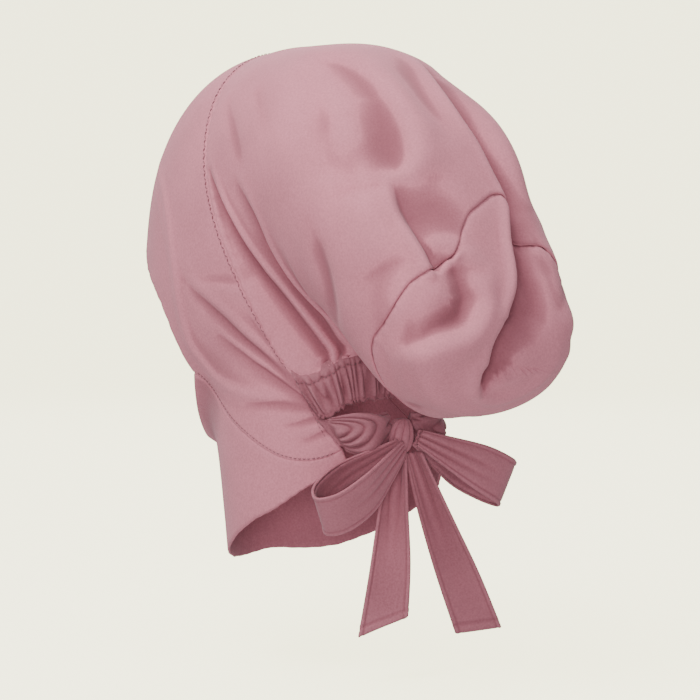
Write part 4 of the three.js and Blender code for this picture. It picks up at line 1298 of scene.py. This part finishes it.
def bow_tail(head, name, node, rows, away, slant, drop_share, pleats):
    """A tail: the end of the tie hangs from under the knot."""
    drop = sizes().tail_drop / MILLIMETRE * drop_share
    width = sizes().tie_width / MILLIMETRE
    root = from_knot(head, *away)
    across = np.array([math.cos(TAIL_FACING), math.sin(TAIL_FACING), 0])
    inward = np.array([math.sin(TAIL_FACING), -math.cos(TAIL_FACING), 0])
    u, v = np.meshgrid(np.linspace(0, 1, 41), np.linspace(0, 1, 181))
    rows = spline(np.array(rows, float), v)
    down = rows[..., 0] * drop + slant * (u - 0.5) * v * v
    grid = root + np.stack([rows[..., 1] * width, rows[..., 2] * width, -down], -1)
    grid = grid + across * ((u - 0.5) * rows[..., 3] * width)[..., None]
    grid = grid + inward * (np.sin(math.pi * u) * rows[..., 4] * width)[..., None]
    near = 1 - ramp(v, 0, 0.7)
    relief = ribbon_relief(u, near, pleats, 2)
    end_hem = 0.3 * ramp(v, 0.965, 0.975) - 0.35 * np.exp(-(((v - 0.955) / 0.008) ** 2))
    sway = 0.9 * np.sin(5.2 * v + 3 * u) * v
    inside = root + inward * FAR
    grid = raised(grid, relief + end_hem + sway, inside, ring=False)
    uvs = metric(u, v, width, drop)
    return cloth_piece(name, grid, uvs, TIE_THICKNESS, inside, [node])


# Topstitching, with its distances from the band's two seams in millimetres
CROWN_STITCHES_IN = 2.6
CHIN_STITCHES_IN = 2.4


def stitch_line(head, spots, lift):
    """Points and normals of a line over the head, raised by lift."""
    points = head.on(spots, lift)
    return points, unit(points - head.middle)


def seam_stitches(head):
    breadth = BAND_BREADTH * head.depth
    made = []

    def along_band(name, along, across, **look):
        spots = band_line(head, along, across)
        depth = band_depth(head, head.on(spots, EASE + head.wall))
        lift = EASE + head.wall - depth * ramp(1 - across, 0, BAND_FADE)
        line = stitch_line(head, spots, lift)
        made.append(stitches(name, *line, "band_jersey", **look))

    along = np.linspace(-0.985, 0.985, 900)
    across = np.full(along.shape, 1 - CROWN_STITCHES_IN / breadth)
    along_band("stitches_crown_seam", along, across, zigzag=0.45)
    for hand, side in ((1, "left"), (-1, "right")):
        along = hand * np.linspace(0.515, 0.985, 420)
        across = np.full(along.shape, CHIN_STITCHES_IN / breadth)
        along_band(f"stitches_chin_seam_{side}", along, across)
        across = np.linspace(0.2, 0.58, 80)
        along_band(f"stitches_band_end_{side}", np.full(across.shape, hand * 0.982), across)
    return made


# Materials
def node_group(name, inputs, outputs):
    """An empty shader group with its sockets, and its input and output nodes."""
    group = bpy.data.node_groups.new(name, "ShaderNodeTree")
    for label, kind, value in inputs:
        socket = group.interface.new_socket(name=label, in_out="INPUT", socket_type=kind)
        socket.default_value = value
    for label, kind in outputs:
        group.interface.new_socket(name=label, in_out="OUTPUT", socket_type=kind)
    start = group.nodes.new("NodeGroupInput")
    end = group.nodes.new("NodeGroupOutput")
    return group, start, end


def add_node(tree, kind, inputs=None, **settings):
    """Adds a node, sets it up, and links or sets its inputs by name or number."""
    node = tree.nodes.new(kind)
    for key, value in settings.items():
        setattr(node, key, value)
    for key, value in (inputs or {}).items():
        socket = node.inputs[key]
        if isinstance(value, bpy.types.NodeSocket):
            tree.links.new(value, socket)
        else:
            socket.default_value = value
    return node


def sum_node(tree, operation, a, b):
    return add_node(tree, "ShaderNodeMath", {0: a, 1: b}, operation=operation).outputs[0]


def blended(tree, mode, share, a, b):
    node = tree.nodes.new("ShaderNodeMix")
    node.data_type = "RGBA"
    node.blend_type = mode
    for key, value in ((0, share), (6, a), (7, b)):
        if isinstance(value, bpy.types.NodeSocket):
            tree.links.new(value, node.inputs[key])
        else:
            node.inputs[key].default_value = value
    return node.outputs[2]


def noise_node(tree, place, scale, detail):
    return add_node(
        tree, "ShaderNodeTexNoise", {"Vector": place, "Scale": scale, "Detail": detail}
    ).outputs[0]


def spread_noise(tree, place, scale):
    """Noise spread out to about -1 to 1."""
    noise = noise_node(tree, place, scale, 3.0)
    return add_node(
        tree, "ShaderNodeMapRange",
        {"Value": noise, "From Min": 0.3, "From Max": 0.7, "To Min": -1.0, "To Max": 1.0},
    ).outputs[0]


def knit_group():
    """Fine jersey: columns of small loops, and a heather of lighter and darker fibres."""
    inputs = [
        ("Color", "NodeSocketColor", (0.5, 0.3, 0.3, 1)),
        ("Wales per metre", "NodeSocketFloat", 1400.0),
        ("Heather", "NodeSocketFloat", 0.1),
        ("Patches", "NodeSocketFloat", 0.06),
    ]
    outputs = [("Color", "NodeSocketColor"), ("Height", "NodeSocketFloat")]
    group, start, end = node_group("Jersey knit", inputs, outputs)
    place = add_node(group, "ShaderNodeTexCoord").outputs["UV"]
    solid_place = add_node(group, "ShaderNodeTexCoord").outputs["Object"]
    parts = add_node(group, "ShaderNodeSeparateXYZ", {0: place}).outputs
    across = sum_node(group, "MULTIPLY", parts[0], start.outputs["Wales per metre"])
    down = sum_node(group, "MULTIPLY", parts[1], start.outputs["Wales per metre"])
    # each wale is a row of V shapes: its two halves lean towards its middle
    half = sum_node(group, "PINGPONG", across, 0.5)
    lean = sum_node(group, "MULTIPLY_ADD", half, 1.2)
    group.links.new(down, lean.node.inputs[2])
    course = sum_node(group, "PINGPONG", lean, 0.5)
    loops = sum_node(group, "MULTIPLY", course, half)
    fibres = noise_node(group, solid_place, 1500.0, 2.0)
    height = sum_node(group, "MULTIPLY_ADD", fibres, 0.25)
    group.links.new(sum_node(group, "MULTIPLY", loops, 3.0), height.node.inputs[2])
    group.links.new(height, end.inputs["Height"])

    speckle = spread_noise(group, solid_place, 900.0)
    patch = spread_noise(group, solid_place, 28.0)
    speckle = sum_node(group, "MULTIPLY", speckle, start.outputs["Heather"])
    patch = sum_node(group, "MULTIPLY", patch, start.outputs["Patches"])
    total = sum_node(group, "ADD", sum_node(group, "ADD", speckle, patch), 1.0)
    scaled = add_node(group, "ShaderNodeVectorMath", {0: start.outputs["Color"]}, operation="SCALE")
    group.links.new(total, scaled.inputs["Scale"])
    group.links.new(scaled.outputs[0], end.inputs["Color"])
    return group


# painted highlight: the lighter colour laid on the ridges of the folds
RIDGE_HIGHLIGHT_COLOUR = (0.6, 0.27, 0.32, 1)


def fold_shade_group():
    """Paints shade into the colour in the folds and a painted highlight on their ridges."""
    inputs = [
        ("Color", "NodeSocketColor", (0.5, 0.3, 0.3, 1)),
        ("Painted shade colour", "NodeSocketColor", (0.2, 0.1, 0.1, 1)),
        ("Depth", "NodeSocketFloat", 0.6),
        ("Lift", "NodeSocketFloat", 0.15),
    ]
    group, start, end = node_group("Fold shade", inputs, [("Color", "NodeSocketColor")])
    painted_fold_shade = add_node(group, "ShaderNodeAttribute", attribute_name="painted_fold_shade").outputs["Fac"]
    # painted shade in the creases, mixed towards the shade colour
    deep = sum_node(group, "MULTIPLY", painted_fold_shade, start.outputs["Depth"])
    deep.node.use_clamp = True
    # painted highlight on the ridges, where the attribute is below 0
    ridge = sum_node(group, "MULTIPLY", painted_fold_shade, -1.0)
    ridge = sum_node(group, "MULTIPLY", ridge, start.outputs["Lift"])
    ridge.node.use_clamp = True
    colour = blended(group, "MIX", deep, start.outputs["Color"], start.outputs["Painted shade colour"])
    colour = blended(group, "MIX", ridge, colour, RIDGE_HIGHLIGHT_COLOUR)
    group.links.new(colour, end.inputs["Color"])
    return group


def jersey(name, painted_shade_tone, depth, heather):
    """A jersey material: its colour is scaled down as painted shade for pieces in the bag's shadow,
    and its depth sets how dark the painted fold shade gets.
    """
    material = bpy.data.materials.new(name)
    material.use_nodes = True
    tree = material.node_tree
    shader = tree.nodes["Principled BSDF"]
    chosen = colours()
    base = tuple(painted_shade_tone * x for x in chosen.jersey) + (1,)
    knit = add_node(tree, "ShaderNodeGroup", node_tree=bpy.data.node_groups["Jersey knit"])
    knit.inputs["Color"].default_value = base
    knit.inputs["Heather"].default_value = heather
    # painted shade in the folds and painted highlight on the ridges, from the pieces' shade
    # attribute
    fold = add_node(tree, "ShaderNodeGroup", node_tree=bpy.data.node_groups["Fold shade"])
    fold.inputs["Painted shade colour"].default_value = tuple(chosen.painted_fold_shade) + (1,)
    fold.inputs["Depth"].default_value = depth
    tree.links.new(knit.outputs["Color"], fold.inputs["Color"])
    tree.links.new(fold.outputs["Color"], shader.inputs["Base Color"])
    bump = add_node(tree, "ShaderNodeBump", {"Height": knit.outputs["Height"]})
    bump.inputs["Strength"].default_value = 0.35
    bump.inputs["Distance"].default_value = 0.0002
    tree.links.new(bump.outputs[0], shader.inputs["Normal"])
    shader.inputs["Roughness"].default_value = 0.82
    shader.inputs["Sheen Weight"].default_value = 0.1
    shader.inputs["Sheen Roughness"].default_value = 0.45
    shader.inputs["Sheen Tint"].default_value = (1, 0.86, 0.9, 1)
    shader.inputs["Specular IOR Level"].default_value = 0.15
    return material


def thread_material():
    material = bpy.data.materials.new("Thread")
    material.use_nodes = True
    tree = material.node_tree
    shader = tree.nodes["Principled BSDF"]
    place = add_node(tree, "ShaderNodeTexCoord").outputs["Object"]
    twist = noise_node(tree, place, 2500.0, 2.0)
    thread = tuple(colours().thread)
    darker = tuple(0.7 * x for x in thread) + (1,)
    twisted = blended(tree, "MIX", twist, darker, thread + (1,))
    tree.links.new(twisted, shader.inputs["Base Color"])
    bump = add_node(tree, "ShaderNodeBump", {"Height": twist, "Distance": 0.0002})
    tree.links.new(bump.outputs[0], shader.inputs["Normal"])
    shader.inputs["Roughness"].default_value = 0.6
    shader.inputs["Sheen Weight"].default_value = 0.2
    return material


TENT_LIGHT = (0.36, 0.36, 0.37, 1)
TENT_GLOW = (3.75, 3.6, 2.3, 1)


def floor_material():
    material = bpy.data.materials.new("Studio floor")
    material.use_nodes = True
    tree = material.node_tree
    shader = tree.nodes["Principled BSDF"]
    place = add_node(tree, "ShaderNodeTexCoord").outputs["Object"]
    grain = noise_node(tree, place, 3.0, 2.0)
    plain = tuple(colours().floor)
    softer = tuple(0.985 * x for x in plain) + (1,)
    grained = blended(tree, "MIX", grain, softer, plain + (1,))
    tree.links.new(grained, shader.inputs["Base Color"])
    shader.inputs["Roughness"].default_value = 0.9
    shader.inputs["Specular IOR Level"].default_value = 0.1
    # the floor and the wall glow, as a light tent does: brightly to the eye, softly on the cloth
    seen = add_node(tree, "ShaderNodeLightPath").outputs["Is Camera Ray"]
    light = blended(tree, "MIX", seen, TENT_LIGHT, TENT_GLOW)
    tree.links.new(light, shader.inputs["Emission Color"])
    shader.inputs["Emission Strength"].default_value = 1
    return material


# The stage
AZIMUTH = 140
ELEVATION = 3
DISTANCE = 1350
MM_PER_PIXEL = 0.58
PICTURE = 700
CROWN_PIXEL = (293, 57)  # where the top of the head shows
LOOK_DOWN = 110  # the plane of the head that the scale is measured on


def toward(azimuth, elevation):
    """The direction from the cap to what stands at an azimuth and elevation in degrees."""
    az = math.radians(azimuth)
    el = math.radians(elevation)
    return Vector((math.sin(az) * math.cos(el), -math.cos(az) * math.cos(el), math.sin(el)))


def studio_camera():
    back = toward(AZIMUTH, ELEVATION)
    az = math.radians(AZIMUTH)
    right = Vector((math.cos(az), math.sin(az), 0))
    up = back.cross(right)
    target = Vector((0, 0, -LOOK_DOWN))
    target += right * (PICTURE / 2 - CROWN_PIXEL[0]) * MM_PER_PIXEL
    target += up * (LOOK_DOWN - (PICTURE / 2 - CROWN_PIXEL[1]) * MM_PER_PIXEL)
    eye = (target + back * DISTANCE) * MILLIMETRE
    data = bpy.data.cameras.new("Camera")
    data.sensor_width = 36
    data.lens = data.sensor_width * DISTANCE / (PICTURE * MM_PER_PIXEL)
    data.clip_end = 50
    camera = bpy.data.objects.new("Camera", data)
    turn = Matrix((right, up, back)).transposed()
    camera.matrix_world = Matrix.Translation(eye) @ turn.to_4x4()
    bpy.context.collection.objects.link(camera)
    bpy.context.scene.camera = camera


LIGHT_CENTRE = Vector((0, 0.05, -0.13))  # what the lights point at, in metres


def softbox(name, azimuth, elevation, distance, size, power, colour=(1, 1, 1)):
    back = toward(azimuth, elevation)
    data = bpy.data.lights.new(name, "AREA")
    data.shape = "DISK"
    data.size = size
    data.energy = power
    data.color = colour
    light = bpy.data.objects.new(name, data)
    light.location = LIGHT_CENTRE + back * distance
    light.rotation_euler = back.to_track_quat("Z", "Y").to_euler()
    light.visible_camera = False
    bpy.context.collection.objects.link(light)


# The floor's flat part, its bend up into the wall, the wall's top and the drop from the cap's
# lowest point to the floor. Metres.
FLOOR_RADIUS = 2.6
WALL_BEND = 1.6
WALL_TOP = 3.4
FLOOR_DROP = 0.02


def studio_floor():
    """A round floor that curves up into a wall far away on every side."""
    low = cad_box[0][2] - FLOOR_DROP
    rings = [(0.0, 0.0), (0.6, 0.0), (1.6, 0.0), (FLOOR_RADIUS, 0.0)]
    steps = 14
    for k in range(1, steps + 1):
        angle = math.pi / 2 * k / steps
        radius = FLOOR_RADIUS + WALL_BEND * math.sin(angle)
        rings.append((radius, WALL_BEND * (1 - math.cos(angle))))
    rings.append((FLOOR_RADIUS + WALL_BEND, WALL_TOP))
    around = 96
    points = [(0, 0, low)]
    faces = []
    for radius, height in rings[1:]:
        for k in range(around):
            angle = TURN * k / around
            points.append((radius * math.cos(angle), radius * math.sin(angle), low + height))
    for k in range(around):
        faces.append([0, 1 + k, 1 + (k + 1) % around])
    for r in range(len(rings) - 2):
        for k in range(around):
            a = 1 + r * around + k
            b = 1 + r * around + (k + 1) % around
            faces.append([a, a + around, b + around, b])
    mesh = bpy.data.meshes.new("studio_floor")
    mesh.from_pydata(points, [], faces)
    mesh.polygons.foreach_set("use_smooth", np.ones(len(faces), bool))
    mesh.materials.append(floor_material())
    floor = bpy.data.objects.new("studio_floor", mesh)
    bpy.context.collection.objects.link(floor)


# Operators
class CapOperator(bpy.types.Operator):
    """Makes pieces of the cap."""

    bl_options = {"REGISTER", "UNDO"}

    def pieces(self, head):
        raise NotImplementedError

    def execute(self, context):
        made = self.pieces(Head())
        if not made:
            raise RuntimeError(f"{self.bl_label} made nothing")
        self.report({"INFO"}, f"{self.bl_label}: {len(made)}")
        return {"FINISHED"}


def finished(piece, material):
    piece.data.materials.append(bpy.data.materials[material])
    return piece


class CAP_OT_materials(bpy.types.Operator):
    """Makes the cap's jersey and thread"""

    bl_idname = "cap.materials"
    bl_label = "Cloth and thread"

    def execute(self, context):
        knit_group()
        fold_shade_group()
        jersey("Bag jersey", painted_shade_tone=1.0, depth=0.85, heather=0.11)
        jersey("Band jersey", painted_shade_tone=1.0, depth=0.85, heather=0.12)
        # the gathered and tie jerseys are darker copies of the same cloth: painted shade for the
        # pieces that lie under the bag, in its shadow
        jersey("Gathered jersey", painted_shade_tone=0.53, depth=1.0, heather=0.12)
        jersey("Tie jersey", painted_shade_tone=0.71, depth=0.7, heather=0.12)
        thread_material()
        return {"FINISHED"}


class CAP_OT_bag(CapOperator):
    """Makes the bag: the crown panel and the base that is gathered to it"""

    bl_idname = "cap.bag"
    bl_label = "Bag"

    def pieces(self, head):
        bag = Bag(head)
        crown = finished(crown_panel(head, bag), "Bag jersey")
        base = finished(bag_base(head, bag), "Bag jersey")
        return [crown, base]


class CAP_OT_band(CapOperator):
    """Makes the smooth band round the face"""

    bl_idname = "cap.band"
    bl_label = "Face band"

    def pieces(self, head):
        band = finished(front_band(head), "Band jersey")
        made = [band]
        for hand, side in ((1, "left"), (-1, "right")):
            bunch = bunched_end(head, hand, f"jersey_gather_{side}", f"gather_{side}")
            made.append(finished(bunch, "Gathered jersey"))
        made += seam_stitches(head)
        return made


class CAP_OT_chin(CapOperator):
    """Makes the panel under the chin"""

    bl_idname = "cap.chin"
    bl_label = "Chin panel"

    def pieces(self, head):
        chin = finished(chin_panel(head), "Band jersey")
        return [chin]


class CAP_OT_casing(CapOperator):
    """Makes the gathered elastic casing at the nape"""

    bl_idname = "cap.casing"
    bl_label = "Nape casing"

    def pieces(self, head):
        casing, *rows = nape_casing(head)
        finished(casing, "Gathered jersey")
        return [casing, *rows]


class CAP_OT_bow(CapOperator):
    """Makes the bow: its knot, loops and tails"""

    bl_idname = "cap.bow"
    bl_label = "Bow"

    def pieces(self, head):
        knot = bow_knot(head)
        loops = [
            bow_loop(
                head, "jersey_loop_left", "bow_loop_left", (0.85, -0.02, -0.527),
                (0.765, 0.244, 0.594), (0.34, 0.5, -0.28),
                [(0.35, 0.1, 1.4), (0.68, -0.06, 1.2)], 1.0, 1.2,
            ),
            bow_loop(
                head, "jersey_loop_right", "bow_loop_right", (-0.88, 0.149, -0.447),
                (-0.55, 0.07, 0.83), (-0.43, 0.59, -0.033),
                [(0.3, 0.05, 1.2), (0.62, -0.05, 1.4)], 1.0, 1.2,
            ),
        ]
        tails = [
            bow_tail(
                head, "jersey_tail_left", "bow_tail_left", LEFT_TAIL,
                (0.28, 0.2, UNDER_KNOT), TAIL_SLANT, 0.91, [(0.3, 0.1, 1.2), (0.7, -0.1, 1)],
            ),
            bow_tail(
                head, "jersey_tail_right", "bow_tail_right", RIGHT_TAIL,
                (-0.3, 0.46, UNDER_KNOT), TAIL_SLANT / 4, 1.0, [(0.4, 0.1, 1.3), (0.75, 0, 1)],
            ),
        ]
        for piece in [knot, *loops, *tails]:
            finished(piece, "Tie jersey")
        return [knot, *loops, *tails]


class CAP_OT_stage(bpy.types.Operator):
    """Makes the floor, the lights and the camera"""

    bl_idname = "cap.stage"
    bl_label = "Stage"

    def execute(self, context):
        studio_floor()
        studio_camera()
        softbox("Key light", 98, 56, 1.6, 0.7, 27, (1, 0.99, 0.97))
        softbox("Top light", 110, 82, 1.7, 1.2, 22)
        softbox("Fill light", 135, 2, 1.7, 0.4, 16, (0.98, 0.985, 1))
        softbox("Front light", 320, 30, 1.9, 1.4, 20)
        world = bpy.data.worlds.new("Studio")
        world.use_nodes = True
        background = world.node_tree.nodes["Background"]
        background.inputs["Color"].default_value = (0.93, 0.94, 1, 1)
        background.inputs["Strength"].default_value = 0.4
        context.scene.world = world
        return {"FINISHED"}


class CAP_PT_panel(bpy.types.Panel):
    """Lists the cap's sizes, colours and operators"""

    bl_idname = "CAP_PT_panel"
    bl_label = "Underscarf cap"
    bl_space_type = "VIEW_3D"
    bl_region_type = "UI"
    bl_category = "Cap"

    def draw(self, context):
        for operator in OPERATORS:
            self.layout.operator(operator.bl_idname)
        for group in (context.scene.cap_sizes, context.scene.cap_colours):
            for key in group.bl_rna.properties.keys():
                if key not in ("rna_type", "name"):
                    self.layout.prop(group, key)


OPERATORS = [
    CAP_OT_materials,
    CAP_OT_band,
    CAP_OT_chin,
    CAP_OT_bag,
    CAP_OT_casing,
    CAP_OT_bow,
    CAP_OT_stage,
]
CLASSES = [CapSizes, CapColours, *OPERATORS, CAP_PT_panel]


def register():
    for cls in CLASSES:
        bpy.utils.register_class(cls)
    bpy.types.Scene.cap_sizes = PointerProperty(type=CapSizes)
    bpy.types.Scene.cap_colours = PointerProperty(type=CapColours)


def unregister():
    del bpy.types.Scene.cap_colours
    del bpy.types.Scene.cap_sizes
    for cls in reversed(CLASSES):
        bpy.utils.unregister_class(cls)


def main():
    register()
    for operator in OPERATORS:
        area, name = operator.bl_idname.split(".")
        getattr(getattr(bpy.ops, area), name)()


if __name__ == "__main__":
    main()
